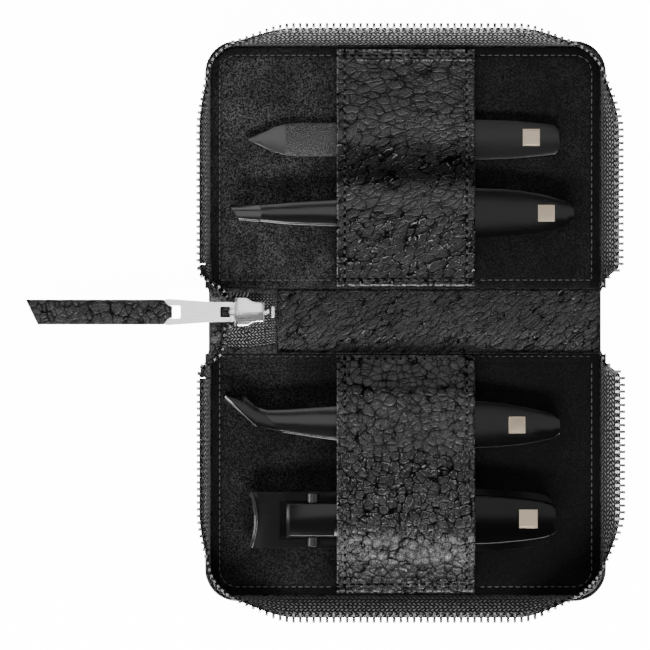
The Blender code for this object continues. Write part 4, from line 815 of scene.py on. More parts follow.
# %% Sizes shared with the solids
FOLD = 9.0 * MM
FOLD_GAP = 0.15 * MM
LINING_HALF_WIDTH = 54.3 * MM
LINING_DEPTH = 67.6 * MM
LINING_RADIUS = 7.2 * MM
LINING_TOP = 3.2 * MM
COVER_MARGIN = 1.8 * MM
LEATHER = 1.2 * MM
TAPE_THICKNESS = 0.5 * MM
WALL_INSET = 0.55 * MM
WALL_HALF_WIDTH = LINING_HALF_WIDTH + WALL_INSET
WALL_DEPTH = LINING_DEPTH + WALL_INSET
WALL_RADIUS = LINING_RADIUS + WALL_INSET
KNEE_HEIGHT = 3.0 * MM
TAPE_WIDTH = 6.3 * MM
TOOTH_PITCH = 1.87 * MM
TOOTH_LIFT = 0.3 * MM
LEAN_LENGTH = 7.4 * MM
LEANS = {
    "upper": {"left": 2.9, "far": 5.2, "right": 5.2, "left_corner": -0.3, "right_corner": -1.0},
    "lower": {"left": 2.8, "far": 6.3, "right": 5.6, "left_corner": -0.8, "right_corner": -1.6},
}
SIDES = (("lower", -1), ("upper", 1))
print("linings in mm", round(2 * LINING_HALF_WIDTH / MM, 1), "x", round(LINING_DEPTH / MM, 1))


def smooth_step(share):
    share = min(max(share, 0.0), 1.0)
    return share * share * (3.0 - 2.0 * share)


def read_curve(keys, place):
    """Value at a place along (place, value) keys, eased between them."""
    for (start, low), (end, high) in zip(keys, keys[1:]):
        if place <= end:
            return low + (high - low) * smooth_step((place - start) / (end - start))
    return keys[-1][1]


def tray(side, inset, steps=12):
    """Outline of a lining, drawn in by an inset: square at the fold, round far corners."""
    half, far, near = LINING_HALF_WIDTH - inset, LINING_DEPTH - inset, FOLD_GAP + max(inset, 0.0)
    radius = max(LINING_RADIUS - inset, 0.5 * MM)
    turns = [math.radians(90.0) * i / steps for i in range(steps + 1)]
    line = [(half, near)]
    line += [(half - radius * (1 - math.cos(t)), far - radius * (1 - math.sin(t))) for t in turns]
    line += [(-half + radius * (1 - math.sin(t)), far - radius * (1 - math.cos(t))) for t in turns]
    line.append((-half, near))
    return [Vector((x, side * (FOLD + d), 0.0)) for x, d in line]


# %% [markdown]
# ## Outer leather
#
# One leather wraps the whole outside. It bends at the two folds, so it is built as two
# pieces that meet in the middle of the spine, where their grain runs on. Rows across the
# case are close together where it bends.

# %% Outer leather of both halves
COVER_ROUND = 1.1 * MM
SPINE_ENDS = (-55.1 * MM, 54.7 * MM)
FLARE_START, FLARE_LENGTH = 1.0 * MM, 3.0 * MM
COVER_INNER = LEATHER - 0.02 * MM
# Inset from the cover's edge and height, in mm.
RIM_SECTION = ((0.0, 1.0), (0.0, 2.2), (0.1, 2.45), (0.3, 2.6), (0.5, 2.5), (0.65, 2.3), (0.68, 1.2),
               (0.3, 1.05))


def cover_width(d, end):
    """Reach of the cover to one end of X at a distance from the spine's middle."""
    full = LINING_HALF_WIDTH + COVER_MARGIN
    radius = LINING_RADIUS + COVER_MARGIN
    reach = abs(end) + (full - abs(end)) * smooth_step((d - FOLD + FLARE_START) / FLARE_LENGTH)
    past = d - (FOLD + LINING_DEPTH + COVER_MARGIN - radius)
    if past > 0.0:
        reach -= radius - math.sqrt(max(radius ** 2 - past ** 2, 0.0))
    return math.copysign(reach, end)


def cover_sheet(side):
    """Rings across the case, from the spine's middle to the far edge."""
    far = FOLD + LINING_DEPTH + COVER_MARGIN
    # Wide steps over the spine, close ones over the fold, wide ones again, and close ones
    # where the far corners turn.
    places = [i * 1.5 * MM for i in range(4)] + [6.0 * MM + i * 0.5 * MM for i in range(13)]
    places += list(np.linspace(14.0 * MM, far - 10.0 * MM, 12))
    places += [far - 9.0 * MM * (1.0 - math.sin(math.radians(a))) for a in range(0, 90, 6)]
    places.append(far - 0.02 * MM)
    rings = []
    for d in places:
        ends = [cover_width(d, end) for end in SPINE_ENDS]
        past = max(COVER_ROUND - (far - d), 0.0)
        floor = COVER_ROUND - math.sqrt(max(COVER_ROUND ** 2 - past ** 2, 0.0))
        ring = []
        for end, turns in ((ends[0], range(0, 91, 18)), (ends[1], range(90, -1, -18))):
            for a in turns:
                turn = math.radians(a)
                x = end - math.copysign(COVER_ROUND * (1.0 - math.cos(turn)), end)
                z = floor + (COVER_ROUND - floor) * (1.0 - math.sin(turn))
                ring.append(Vector((x, side * d, z)))
        ring += [Vector((ends[1] * (1 - i / 4) + ends[0] * i / 4, side * d, COVER_INNER)) for i in range(5)]
        rings.append(ring)
    return rings


# %% Rim and covers
def rim_band(side):
    """Folded edge of the leather round three sides, outside the zip's tape."""
    lines = [(tray(side, inset * MM - COVER_MARGIN), z * MM) for inset, z in RIM_SECTION]
    return [[Vector((line[i].x, line[i].y, z)) for line, z in lines] for i in range(len(lines[0][0]))]


for name, side in SIDES:
    shape = skin(cover_sheet(side))
    skin(rim_band(side), shape=shape)
    cover = add_piece(f"outer_leather_{name}", shape, cover_leather)
    bend(cover, name, side, "grained_leather", f"cover_leather_{name}",
         *(["spine_leather"] if side < 0 else []))
    print(cover.name, len(cover.data.vertices), "points")

# %% [markdown]
# ## Suede linings
#
# Each lining is a card covered with suede and sewn down near its edge. Rings from the
# edge inwards give it a round edge and a shallow ditch where the thread pulls it down.

# %% Linings with a sewn ditch
STITCH_INSET = 2.3 * MM
NEAR_INSET = {"upper": 2.3 * MM, "lower": 0.7 * MM}
# Inset from the lining's edge and rise, in mm.
LINING_PROFILE = ((0.0, -0.8), (0.0, -0.3), (0.12, -0.08), (0.4, 0.0), (1.6, 0.0), (2.05, -0.1),
                  (2.3, -0.2), (2.55, -0.1), (3.0, 0.0), (4.5, 0.0))
for name, side in SIDES:
    rings = [[Vector((p.x, p.y, LINING_TOP + z * MM)) for p in tray(side, inset * MM)]
             for inset, z in LINING_PROFILE]
    lining = add_piece(f"suede_{name}", skin(rings), suede_lining, 180)
    settle(lining, f"half_{name}", "suede_lining", f"lining_{name}")
    print(lining.name, len(lining.data.vertices), "points")

# %% [markdown]
# ## Stitches
#
# Every stitch is its own little arch of thread that dives into the leather at both ends.
# They are laid at an even pitch along a line, and they share one mesh for each seam.

# %% Sewing along a line
# Place along a stitch as a share of its length, then rise and thickness as shares of the thread's.
STITCH_ARCH = ((-0.5, -0.5, 0.55), (-0.32, 0.35, 0.9), (0.0, 0.6, 1.0), (0.32, 0.35, 0.9), (0.5, -0.5, 0.55))
THREAD_TURNS = [math.radians(60.0) * i for i in range(6)]
CARD_PITCH, CARD_STITCH, CARD_THREAD, CARD_SINK = 1.95 * MM, 1.3 * MM, 0.13 * MM, 0.14 * MM
STRAP_CLEAR = 0.6 * MM


def spaced(line, pitch):
    """Points at an even pitch along a line, each with the number of its stretch."""
    lengths = run_lengths(line)
    count = max(int(lengths[-1] / pitch), 1)
    for i in range(count):
        s = (i + 0.5) * lengths[-1] / count
        k = int(np.searchsorted(lengths, s, "right")) - 1
        yield k, line[k].lerp(line[k + 1], (s - lengths[k]) / (lengths[k + 1] - lengths[k]))


def sew(name, lines, pitch, length, radius, finish, height, skip=None):
    """Stitches along lines; height gives the surface's z below each one."""
    shape = bmesh.new()
    for line in lines:
        for k, middle in spaced(line, pitch):
            if skip and skip(middle):
                continue
            along = (line[k + 1] - line[k]).normalized()
            side = Vector((-along.y, along.x, 0.0)).normalized()
            loops = []
            for share, arch, size in STITCH_ARCH:
                point = middle + along * (length * share)
                point.z = height(point.x, point.y) + radius * arch
                loops.append([shape.verts.new(point + side * (radius * size * math.cos(t))
                                              + Vector((0, 0, radius * size * math.sin(t))))
                              for t in THREAD_TURNS])
            for low, high in zip(loops, loops[1:]):
                for i in range(6):
                    shape.faces.new((low[i], low[(i + 1) % 6], high[(i + 1) % 6], high[i]))
    return add_piece(name, shape, finish, 180)


# %% Sew the linings
STRAP_HALF = 19.3 * MM
for name, side in SIDES:
    edge = tray(side, STITCH_INSET, steps=10)
    near = [Vector((p.x, side * (FOLD + FOLD_GAP + NEAR_INSET[name]), 0.0)) for p in (edge[-1], edge[0])]
    seam = sew(f"lining_stitches_{name}", [edge, near], CARD_PITCH, CARD_STITCH, CARD_THREAD, grey_thread,
               lambda x, y: LINING_TOP - CARD_SINK, lambda p: abs(p.x) < STRAP_HALF + STRAP_CLEAR)
    settle(seam, f"half_{name}", "suede_lining")
    print(seam.name, len(seam.data.vertices), "points")

# %% [markdown]
# ## The zip's wall of tape
#
# On each half the tape is sewn in between lining and leather, stands up round three
# sides, and leans out by a different amount on each side. A path gives the foot of that
# wall, the lean there, and so a small frame of directions for tape and teeth.

# %% Path of the standing tape
WALL_LEFT_END = 7.0 * MM
WALL_RIGHT_END = 0.4 * MM
TURN_LENGTH = 6.0 * MM
TURN_SHARE = 0.22
LEAN_BLEND = 16.0 * MM
BEAD, BEAD_DROP = 0.42 * MM, 0.15 * MM


class WallPath:
    """Line round three sides of a half on which the zip's tape stands."""

    def __init__(self, side, lean):
        self.side = side
        self.right = WALL_DEPTH - WALL_RADIUS - WALL_RIGHT_END
        self.corner = math.radians(90.0) * WALL_RADIUS
        self.far = 2 * (WALL_HALF_WIDTH - WALL_RADIUS)
        self.left = WALL_DEPTH - WALL_RADIUS - WALL_LEFT_END
        self.length = self.right + self.far + self.left + 2 * self.corner
        second = self.right + self.corner * 1.5 + self.far
        self.keys = [(0.0, 0.0), (TURN_LENGTH, lean["right"]), (self.right - LEAN_BLEND, lean["right"]),
                     (self.right + self.corner / 2, lean["right_corner"]),
                     (self.right + self.corner + LEAN_BLEND, lean["far"]),
                     (self.right + self.corner + self.far - LEAN_BLEND, lean["far"]),
                     (second, lean["left_corner"]),
                     (second + self.corner / 2 + LEAN_BLEND, lean["left"]), (self.length, lean["left"])]

    def foot(self, s):
        """Point on the line and the outward direction there."""
        x, d, nx, nd = WALL_HALF_WIDTH, WALL_RIGHT_END + s, 1.0, 0.0
        inner = WALL_HALF_WIDTH - WALL_RADIUS
        deep = WALL_DEPTH - WALL_RADIUS
        past = s - self.right
        if past > 0:
            turn = min(past, self.corner) / WALL_RADIUS
            nx, nd = math.cos(turn), math.sin(turn)
            x, d = inner + WALL_RADIUS * nx, deep + WALL_RADIUS * nd
        past -= self.corner
        if past > 0:
            x, d = inner - min(past, self.far), WALL_DEPTH
        past -= self.far
        if past > 0:
            turn = min(past, self.corner) / WALL_RADIUS
            nx, nd = -math.sin(turn), math.cos(turn)
            x, d = -inner + WALL_RADIUS * nx, deep + WALL_RADIUS * nd
        past -= self.corner
        if past > 0:
            nx, nd, x, d = -1.0, 0.0, -WALL_HALF_WIDTH, deep - past
        return Vector((x, self.side * (FOLD + d), KNEE_HEIGHT)), Vector((nx, self.side * nd, 0.0))

    def frame(self, s):
        """Knee point, directions up the tape and out of its face, outward, width there."""
        knee, outward = self.foot(s)
        lean = read_curve(self.keys, s) * MM / LEAN_LENGTH
        rise = math.sqrt(1.0 - lean * lean)
        up = outward * lean + Vector((0.0, 0.0, rise))
        face = outward * rise - Vector((0.0, 0.0, lean))
        turn = TURN_SHARE + (1.0 - TURN_SHARE) * smooth_step(s / TURN_LENGTH)
        return knee, up, face, outward, TAPE_WIDTH * turn


# %% Section of the tape
def tape_ring(low, up, face, width, foot=()):
    """Section of the tape: its two faces, and the round bead along its upper edge."""
    half = TAPE_THICKNESS / 2
    rise = [width * share for share in (0.0, 0.3, 0.6, 0.86)]
    out_side = [low + up * r + face * half for r in rise]
    in_side = [low + up * r - face * half for r in reversed(rise)]
    top = [low + up * (width - BEAD_DROP + BEAD * math.sin(t)) + face * (BEAD * math.cos(t))
           for t in [math.radians(a) for a in range(-20, 201, 44)]]
    return [p + q for p, q in foot[:1]] + out_side + top + in_side + [p + q for p, q in foot[1:]]


# %% [markdown]
# ## Metal teeth
#
# Each tooth is a cast clamp: two legs grip the tape's bead and a narrower head stands
# up from it. One outline in the plane across the tape, given a thickness along it, is
# enough, and a fine bevel makes the glints.

# %% One tooth and a row of them
# Across the tape and up from its edge, in mm.
TOOTH_OUTLINE = ((-0.74, -1.25), (-0.76, 0.3), (-0.62, 0.62), (-0.56, 1.2), (-0.34, 1.55), (0.34, 1.55),
                 (0.56, 1.2), (0.62, 0.62), (0.76, 0.3), (0.74, -1.25), (0.46, -1.3), (0.44, -0.2),
                 (-0.44, -0.2), (-0.46, -1.3))
TOOTH_HALF, PIT, TOOTH_EDGE = 0.43, 0.1 * MM, 0.07 * MM
# Widths of the rims of painted shade round the legs, on the walls and on the limbs.
WALL_RIM, LIMB_RIM = 0.13 * MM, 0.27 * MM
LEG_SIDES, HEAD_SIDE = (0, 8), 4
# Shares of painted shade: the head's end face, every other side face and rim, the pitted faces.
HEAD_DARK, EDGE_SHADE, PIT_DARK = 0.7, 0.86, 1.0


def tooth_row(name, frames, rim):
    """Teeth at frames of (root, up, face, along), all in one mesh, with pitted faces.

    The legs keep bright metal in their middles; the head, every rim and the pitted faces get painted shade."""
    shape = bmesh.new()
    tooth_shade = shape.loops.layers.float_color.new("painted_tooth_shade")
    hollows, legs, shaded = [], [], {}
    count = len(TOOTH_OUTLINE)
    for root, up, face, along in frames:
        loops = [[shape.verts.new(root + face * (across * MM) + up * (rise * MM)
                                  + along * (sign * TOOTH_HALF * MM)) for across, rise in TOOTH_OUTLINE]
                 for sign in (-1, 1)]
        hollows += [shape.faces.new(loops[0]), shape.faces.new(list(reversed(loops[1])))]
        for i in range(count):
            j = (i + 1) % count
            side = shape.faces.new((loops[0][i], loops[0][j], loops[1][j], loops[1][i]))
            if i in LEG_SIDES:
                legs.append(side)
            else:
                shaded[side] = HEAD_DARK if i == HEAD_SIDE else EDGE_SHADE
    bmesh.ops.recalc_face_normals(shape, faces=shape.faces)
    bmesh.ops.inset_individual(shape, faces=hollows, thickness=PIT, depth=-PIT)
    rims = bmesh.ops.inset_individual(shape, faces=legs, thickness=rim)["faces"]
    # Painted shade, face by face, kept in the mesh's own colour map.
    dark = shaded | dict.fromkeys(rims, EDGE_SHADE) | dict.fromkeys(hollows, PIT_DARK)
    for face in shape.faces:
        for corner in face.loops:
            corner[tooth_shade] = (dark.get(face, 0.0),) * 4
    row = add_piece(name, shape, zip_metal, 40)
    round_edges(row, TOOTH_EDGE)
    return row


# %% Standing tape and teeth of both halves
TAPE_BOTTOM = 1.5 * MM
CLOSE_RINGS, WIDE_RINGS = 0.8 * MM, 2.0 * MM
walls = {}
for name, side in SIDES:
    path = walls[name] = WallPath(side, LEANS[name])
    places = [0.0]
    while places[-1] < path.length:
        s = places[-1]
        turning = path.right < s < path.right + path.corner or s > path.length - path.left - path.corner
        places.append(min(s + (CLOSE_RINGS if turning or s < TURN_LENGTH else WIDE_RINGS), path.length))
    rings = []
    for s in places:
        knee, up, face, outward, width = path.frame(s)
        drop = Vector((0.0, 0.0, TAPE_BOTTOM - KNEE_HEIGHT))
        half = outward * (TAPE_THICKNESS / 2)
        rings.append(tape_ring(knee, up, face, width, ((knee + drop, half), (knee + drop, -half))))
    tape = add_piece(f"tape_{name}", skin(rings), zip_tape, 60)
    settle(tape, f"half_{name}", "zip_tape", f"zip_tape_{name}")
    frames = []
    count = int(path.length / TOOTH_PITCH)
    for i in range(count):
        s = (i + 0.5) * path.length / count
        knee, up, face, outward, width = path.frame(s)
        frames.append((knee + up * (width + TOOTH_LIFT), up, face, up.cross(face).normalized()))
    teeth = tooth_row(f"teeth_{name}", frames, WALL_RIM)
    settle(teeth, f"half_{name}", "zip_metal", f"zip_teeth_{name}")
    print(teeth.name, count, "teeth")

# %% [markdown]
# ## The zip's limbs into the slider
#
# From the left end of each wall the tape turns down over the spine and into the slider.
# A smooth line through a few points carries the row of teeth, another the tape's foot.
# These limbs cross the folds, half on the case's half and half on the spine.

# %% Route of the limbs
CHAIN_HEIGHT = 3.4 * MM
SLIDER_NOSE, SHOULDER_LEFT, POST_RIGHT = 49.3 * MM, 47.4 * MM, 45.6 * MM
SHOULDER_HALF = 3.45 * MM
POST_HALF = 0.9 * MM
GAP = 0.3 * MM
CHAIN_LEFT = 43.6 * MM
TOOTH_REACH = 1.6 * MM
TOOTH_HEAD = 1.5 * MM
TAIL_EDGES = {"upper": 7.9 * MM, "lower": 7.2 * MM}


def limb_lines(side, name):
    """Points that the row of teeth and the tape's foot pass through."""
    path = walls[name]
    knee, up, face, outward, width = path.frame(path.length)
    top = knee + up * (width + GAP)
    gap = Vector((0.0, -side * GAP, 0.0))
    drawn = TAPE_WIDTH * 0.4
    drop = WALL_LEFT_END * 2 / 3
    beside = POST_HALF + GAP + TOOTH_REACH
    over = LINING_TOP + TAPE_THICKNESS + 2 * GAP
    edge = side * TAIL_EDGES[name]
    row = [top + gap,
           Vector((top.x + drawn / 3, side * (FOLD + WALL_LEFT_END - drop * 2 / 3), top.z - drawn / 4)),
           Vector((drawn - WALL_HALF_WIDTH, side * (FOLD + FOLD_GAP), (top.z + CHAIN_HEIGHT) / 2))]
    row += [Vector((x, ZIP_Y + side * aside, CHAIN_HEIGHT + rise)) for x, aside, rise in (
        (-SLIDER_NOSE - drawn / 3, SHOULDER_HALF + TOOTH_HEAD * 2 / 3, drawn / 4),
        (-SHOULDER_LEFT, beside, 0.0), (-POST_RIGHT, beside, 0.0),
        (GAP - CHAIN_LEFT, TOOTH_REACH + GAP / 2, -GAP / 5))]
    foot = [knee + gap,
            Vector((knee.x, side * (FOLD + WALL_LEFT_END / 2), over)),
            Vector((knee.x + drawn / 2, side * (FOLD + FOLD_GAP), over))]
    foot += [Vector((x, edge, CHAIN_HEIGHT + rise)) for x, rise in (
        (-SLIDER_NOSE - drawn / 2, 0.0), (-SHOULDER_LEFT, 0.0), (-POST_RIGHT, 0.0),
        (GAP - CHAIN_LEFT, -GAP / 5))]
    return row, foot


# %% Limbs between the halves and the slider
def curve_through(points, steps=14):
    """Smooth line of many points through a few."""
    line = []
    padded = [points[0] * 2 - points[1], *points, points[-1] * 2 - points[-2]]
    for a, b, c, d in zip(padded, padded[1:], padded[2:], padded[3:]):
        for i in range(steps):
            t = i / steps
            line.append(((b * 2) + (c - a) * t + (a * 2 - b * 5 + c * 4 - d) * t * t
                         + (b * 3 - a - c * 3 + d) * t * t * t) / 2)
    return line + [points[-1]]


for name, side in SIDES:
    row, foot = (curve_through(line) for line in limb_lines(side, name))
    frames = []
    for i, (top, low) in enumerate(zip(row, foot)):
        along = (row[min(i + 1, len(row) - 1)] - row[max(i - 1, 0)]).normalized()
        face = (top - low).normalized().cross(along).normalized() * side
        frames.append((top, low, along.cross(face).normalized() * side, face, along))
    rings = [tape_ring(low, (top - low).normalized(), face, (top - low).length - GAP)
             for top, low, up, face, along in frames]
    tape = add_piece(f"limb_tape_{name}", skin(rings), flat_tape, 60)
    placed = [(point, *frames[k][2:]) for k, point in spaced(row, TOOTH_PITCH)]
    teeth = tooth_row(f"limb_teeth_{name}", placed, LIMB_RIM)
    bend(tape, name, side, "zip_tape", f"zip_bridge_tape_{name}")
    bend(teeth, name, side, "zip_metal", f"zip_bridge_teeth_{name}")
    print(teeth.name, len(placed), "teeth")

# %% [markdown]
# ## Straps
#
# A strap is a folded band of leather, sewn to the lining at its ends and stretched over
# two tools. Its height comes from rays dropped on the strap's solid. Its long sides are
# turned hems: full and round at the edge, with a ditch where the thread runs. One row of
# stitches holds each end, and small ripples run over the rest.

# %% Shape of a strap
STRAP_LEATHER = 1.0 * MM
HEM = 2.25 * MM
END_SEAM = {"upper": 1.9 * MM, "lower": 0.9 * MM}
FAR_SEAM = 2.2 * MM
STRAP_STITCH, STRAP_THREAD, STRAP_SINK = 1.2 * MM, 0.26 * MM, 0.17 * MM
STEPS, SMOOTHINGS = 150, 6
EDGE_ROUND, END_ROUND, UNDER_ROUND = 0.5 * MM, 0.35 * MM, 0.45 * MM
RIPPLE, RIPPLE_START = 0.12 * MM, 3.0 * MM
EDGE_SHARES = [-1.0, -0.995, -0.98, -0.955, -0.92, -0.9, -0.8835, -0.867, -0.84, -0.78]
ACROSS = EDGE_SHARES + list(np.linspace(-0.7, 0.7, 17)) + [-x for x in reversed(EDGE_SHARES)]


def ditch(away, depth, half):
    """Depth of a sewn ditch at a distance from its middle."""
    return depth * MM * math.exp(-(away / (half * MM)) ** 2)


def strap_rings(name, side):
    """Rings across a strap, one for each place along it."""
    top = caster(f"strap_{name}")
    low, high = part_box(f"strap_{name}")
    near, far = (low.y, high.y) if side > 0 else (high.y, low.y)
    places = [near + (far - near) * i / STEPS for i in range(STEPS + 1)]
    heights = [top(0.0, min(max(y, low.y + 0.01 * MM), high.y - 0.01 * MM)) for y in places]
    for _ in range(SMOOTHINGS):
        heights = [(heights[max(i - 1, 0)] + 2 * heights[i] + heights[min(i + 1, STEPS)]) / 4
                   for i in range(STEPS + 1)]
    rings = []
    for i, (y, z) in enumerate(zip(places, heights)):
        end = min(i, STEPS - i) * abs(far - near) / STEPS
        sink = ditch(end - (END_SEAM[name] if i < STEPS / 2 else FAR_SEAM), 0.22, 0.35)
        sink += END_ROUND * (1.0 - min(end / END_ROUND, 1.0)) ** 2
        upper = []
        for share in ACROSS:
            x = share * STRAP_HALF
            edge = STRAP_HALF - abs(x)
            turned = 1.0 - min(edge / EDGE_ROUND, 1.0)
            round_off = EDGE_ROUND * (1.0 - math.sqrt(max(1.0 - turned ** 2, 0.0)))
            ripple = RIPPLE * math.sin(x / (5.1 * MM) + y / (3.3 * MM))
            ripple *= math.sin(y / (6.7 * MM) + x / (9.0 * MM)) * min(edge / RIPPLE_START, 1.0)
            upper.append(Vector((x, y, z - sink - ditch(edge - HEM, 0.2, 0.3) - round_off + ripple)))
        lower = [Vector((p.x, p.y, z - STRAP_LEATHER + UNDER_ROUND * (abs(share) > 0.99)))
                 for p, share in zip(reversed(upper), reversed(ACROSS))]
        rings.append(upper + lower)
    return rings, places, heights


# %% Straps draped over the tools
for name, side in SIDES:
    rings, places, heights = strap_rings(name, side)
    finish = lower_strap_leather if name == "lower" else upper_strap_leather
    strap = add_piece(f"leather_strap_{name}", skin(rings), finish, 70)
    settle(strap, f"half_{name}", "strap_leather", f"strap_{name}")
    order = np.argsort(places)
    flat_y, flat_z = np.array(places)[order], np.array(heights)[order]
    ends = [places[0] + side * END_SEAM[name], places[-1] - side * FAR_SEAM]
    hems = (HEM - STRAP_HALF, STRAP_HALF - HEM)
    lines = [[Vector((x, y, 0.0)) for y in ends] for x in hems]
    lines += [[Vector((x, y, 0.0)) for x in hems] for y in ends]
    seam = sew(f"strap_stitches_{name}", lines, STRAP_PITCH, STRAP_STITCH, STRAP_THREAD, black_thread,
               lambda x, y: float(np.interp(y, flat_y, flat_z)) - STRAP_SINK)
    settle(seam, f"half_{name}", "strap_leather")
    print(strap.name, len(strap.data.vertices), "points")

# %% [markdown]
# ## Spine strip and tape tail
#
# Inside, a strip of leather covers the spine between the folds. It starts where the
# zip's tape is sewn down, and it swells a little between its long edges. The tail of
# the tape is woven like the rest, finer than the standing tape.

# %% Spine strip
STRIP_LEFT, STRIP_RIGHT = -36.0 * MM, 54.3 * MM
STRIP_HALF = FOLD - FOLD_GAP
STRIP_TOP, STRIP_UNDER, SWELL, EDGE_DROP = 2.3 * MM, 1.3 * MM, 0.25 * MM, 0.35 * MM
STRIP_SEAM = STRIP_LEFT + 1.7 * MM
STRIP_ROUND, STRIP_FOLDS = 0.6 * MM, 0.1 * MM
EDGE_PLACES = [0.25, 0.5, 0.7, 0.85, 0.92, 0.96, 0.985, 1.0]


def strip_height(x, y):
    """Top of the spine strip: round at its edges, sunk along its seam."""
    edge = min(STRIP_HALF - abs(y), x - STRIP_LEFT, STRIP_RIGHT - x)
    sink = EDGE_DROP * (1.0 - min(max(edge, 0.0) / STRIP_ROUND, 1.0)) ** 2
    folds = STRIP_FOLDS * math.sin((x * 0.8 + y * 1.9) / (2.6 * MM)) * math.sin(x / (7.3 * MM) + 1.0)
    swell = SWELL * math.cos(y / STRIP_HALF * math.pi / 2)
    return STRIP_TOP + swell - sink - ditch(x - STRIP_SEAM, 0.18, 0.35) + folds * (1 - sink / EDGE_DROP)


xs = [STRIP_LEFT + x * MM for x in (0.001, 0.15, 0.4, 0.8)]
xs += list(np.arange(STRIP_LEFT + 1.2 * MM, STRIP_RIGHT - 0.6 * MM, 0.5 * MM))
xs += [STRIP_RIGHT - 0.3 * MM, STRIP_RIGHT - 0.1 * MM, STRIP_RIGHT]
ys = [STRIP_HALF * s for s in [-s for s in reversed(EDGE_PLACES)] + [0.0] + EDGE_PLACES]
rings = [[Vector((x, y, strip_height(x, y))) for y in ys]
         + [Vector((x, y, STRIP_UNDER)) for y in (STRIP_HALF, -STRIP_HALF)] for x in xs]
strip = add_piece("spine_strip", skin(rings), spine_leather, 70)
settle(strip, "spine", "grained_leather", "spine_lining")
print(strip.name, len(strip.data.vertices), "points")

# %% Tail of the tape and its seams
TAIL_LEFT, TAIL_RIGHT, TAIL_DROP = -43.55 * MM, -36.35 * MM, 1.75 * MM
TAIL_BEND, TAIL_RUN = -37.9 * MM, 1.6 * MM


def tail_height(x, y=0.0):
    """Top of the tail: level at the chain, and then down to the spine."""
    run = -TAIL_DROP * smooth_step((x - TAIL_BEND) / TAIL_RUN)
    return CHAIN_HEIGHT + run + TAPE_THICKNESS / 2


def small_seam(name, start, end, pitch, length, radius, finish, height, slot):
    """One straight seam on the spine."""
    line = [Vector((*start, 0.0)), Vector((*end, 0.0))]
    settle(sew(name, [line], pitch, length, radius, finish, height), "spine", slot)


xs = list(np.linspace(TAIL_LEFT, TAIL_BEND, 8)) + list(np.linspace(TAIL_BEND + 0.2 * MM, TAIL_RIGHT, 8))
rings = []
for x in xs:
    low = -TAIL_EDGES["lower"] + 1.0 * MM * (x - TAIL_LEFT) / (TAIL_RIGHT - TAIL_LEFT)
    ys = list(np.linspace(low, TAIL_EDGES["upper"], 14))
    rings.append([Vector((x, y, tail_height(x))) for y in ys]
                 + [Vector((x, y, tail_height(x) - TAPE_THICKNESS)) for y in reversed(ys)])
tail = add_piece("tail_tape", skin(rings), flat_tape, 60)
settle(tail, "spine", "zip_tape", "zip_tail_tape")
small_seam("spine_stitches", (STRIP_SEAM, 7.6 * MM), (STRIP_SEAM, -7.4 * MM), 1.9 * MM, 1.2 * MM, 0.17 * MM,
           black_thread, lambda x, y: strip_height(x, y) + 0.02 * MM, "grained_leather")
small_seam("tail_stitches", (TAIL_LEFT + 0.2 * MM, -TAIL_EDGES["lower"] + 0.25 * MM),
           (TAIL_RIGHT - 0.1 * MM, -TAIL_EDGES["lower"] + 1.25 * MM), 1.2 * MM, 1.0 * MM, 0.12 * MM,
           grey_thread, tail_height, "zip_tape")
print(tail.name, len(tail.data.vertices), "points")

# %% [markdown]
# ## Leather tab on the pull
#
# The tab is one strap of leather, folded round the plate's far bar and glued to itself.
# So it is a band swept along a line: out along the top, round the bar, back below. It is
# narrow where it passes through the plate's slot, and its end is cut on a slant.

# %% Shape of the tab
TAB_AXIS = Vector((-67.336 * MM, ZIP_Y, 4.6382 * MM))
PULL_AXIS = Vector((-48.3 * MM, ZIP_Y, 6.2 * MM))
TAB_LENGTH, TAB_HALF, TAB_SLANT, SLANT_END = 39.0 * MM, 3.5 * MM, 3.4 * MM, 8.0 * MM
TAB_BAND, SLOT_HALF = 1.0 * MM, 1.75 * MM
LOOP_RADIUS, LOOP_START = 1.05 * MM, 2.6 * MM
LOOP_SHIFT, GLUE_HALF = 0.2 * MM, 0.03 * MM
STRAIGHT_POINTS = 27
# Across and out, as shares of the half width and the half thickness.
BAND_SECTION = ((-1, -1), (-1, 0.4), (-0.96, 0.8), (-0.86, 1), (0, 1), (0.86, 1), (0.96, 0.8), (1, 0.4),
                (1, -1), (0, -1))


def tab_line():
    """Middle line of the band in the tab's own plane: (x, z) and half width there."""
    tall = TAB_BAND / 2 + GLUE_HALF
    straight = [(-TAB_LENGTH + (TAB_LENGTH - LOOP_START) * i / (STRAIGHT_POINTS - 1), tall, TAB_HALF)
                for i in range(STRAIGHT_POINTS)]
    loop = []
    reach = LOOP_RADIUS + TAB_BAND * 0.4
    for a in range(120, -121, -20):
        turn = math.radians(a)
        wide = TAB_HALF - (TAB_HALF - SLOT_HALF) * smooth_step((math.cos(turn) + 0.5) / 1.2)
        loop.append((reach * math.cos(turn) + LOOP_SHIFT, reach * math.sin(turn), wide))
    return straight + loop + [(x, -z, wide) for x, z, wide in reversed(straight)]


def tab_rings():
    """Rings of the band's section along that line, set at the plate's slope."""
    slope = Matrix.Rotation(-math.atan2(PULL_AXIS.z - TAB_AXIS.z, PULL_AXIS.x - TAB_AXIS.x), 4, "Y")
    line = tab_line()
    rings = []
    for i, (x, z, wide) in enumerate(line):
        x0, z0, _ = line[max(i - 1, 0)]
        x1, z1, _ = line[min(i + 1, len(line) - 1)]
        run = Vector((x1 - x0, 0.0, z1 - z0)).normalized()
        out = Vector((-run.z, 0.0, run.x))
        end = smooth_step((x + TAB_LENGTH) / SLANT_END)
        ring = []
        for share, rise in BAND_SECTION:
            point = Vector((x, 0.0, z)) + out * (TAB_BAND / 2 * rise) + Vector((0.0, wide * share, 0.0))
            point.x += TAB_SLANT * (1 - share) / 2 * (1.0 - end)
            ring.append(TAB_AXIS + slope @ point)
        rings.append(ring)
    return rings


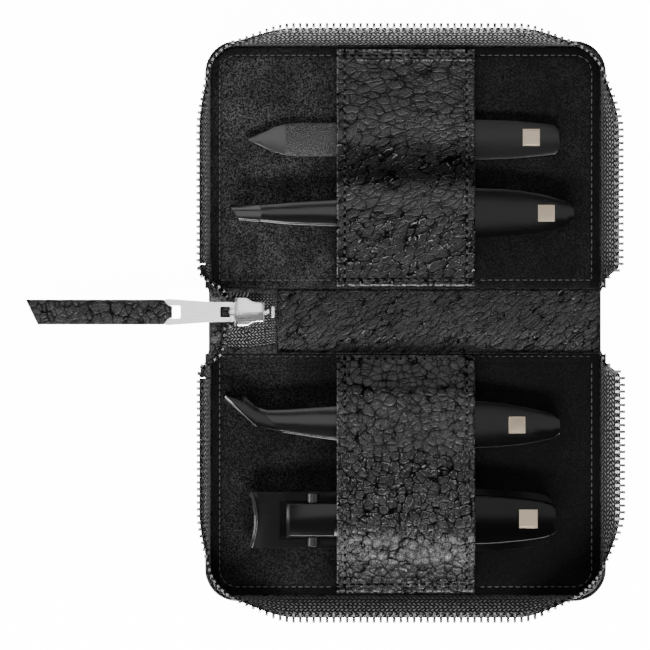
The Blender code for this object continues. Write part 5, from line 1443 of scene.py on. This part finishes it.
# %% Tab folded round the pull plate
tab = add_piece("leather_tab", skin(tab_rings()), tab_leather, 60)
settle(tab, "pull_tab", "strap_leather", "pull_leather")
print(tab.name, len(tab.data.vertices), "points")

# %% [markdown]
# ## Inlaid squares on the tools
#
# Each tool has a small square of bronze set into its handle. It is bare here. The square
# sits a hair above the steel, tilted as the steel below it is, and a thin groove frames it.

# %% Bronze squares
# Inset from the square's edge and rise above the steel, in mm.
INLAY_STEPS = ((0.0, -0.1), (0.0, 0.015), (0.05, 0.04), (0.3, 0.04), (0.34, 0.02), (0.42, 0.02),
               (0.46, 0.045))


def inlay(name, node, left, right, top, bottom, body):
    """Thin square plate over a box of the photograph's pixels, laid on a CAD node."""
    height = caster(node)
    middle = at_pixel((left + right) / 2, (top + bottom) / 2)
    half = (right - left) / 2 * PIXEL
    slope_x = (height(middle.x + half / 2, middle.y) - height(middle.x - half / 2, middle.y)) / half
    slope_y = (height(middle.x, middle.y + half / 2) - height(middle.x, middle.y - half / 2)) / half
    base = height(middle.x, middle.y)
    rings = []
    for draw, rise in INLAY_STEPS:
        size = half - draw * MM
        rings.append([Vector((middle.x + sx * size, middle.y + sy * size,
                              base + slope_x * sx * size + slope_y * sy * size + rise * MM))
                      for sx, sy in CORNERS])
    settle(add_piece(name, skin(rings), bronze, 30), body, "black_steel")
    print(name, "side in mm", round(2 * half / MM, 2))


inlay("inlay_file", "nail_file", 522.3, 539.3, 129.6, 146.2, "file")
inlay("inlay_tweezers", "tweezers_upper_leaf", 537.3, 554.0, 205.3, 222.0, "tweezers_leaf")
inlay("inlay_nipper", "nipper_upper_leaf", 508.0, 524.7, 416.2, 433.0, "nipper_leaf")
inlay("inlay_lever", "clipper_lever", 518.3, 536.7, 508.8, 527.2, "lever")

# %% [markdown]
# ## Size
#
# How far the dressed case reaches past the CAD model's box is printed. The dressed
# case must stay in the CAD model's box, apart from what fabric may stand proud.

# %% Print how far the box grew
now_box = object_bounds()
growth = zip(cad_box[1] - cad_box[0], now_box[1] - now_box[0])
print("box grew by mm", [round((now - before) / MM, 2) for before, now in growth])
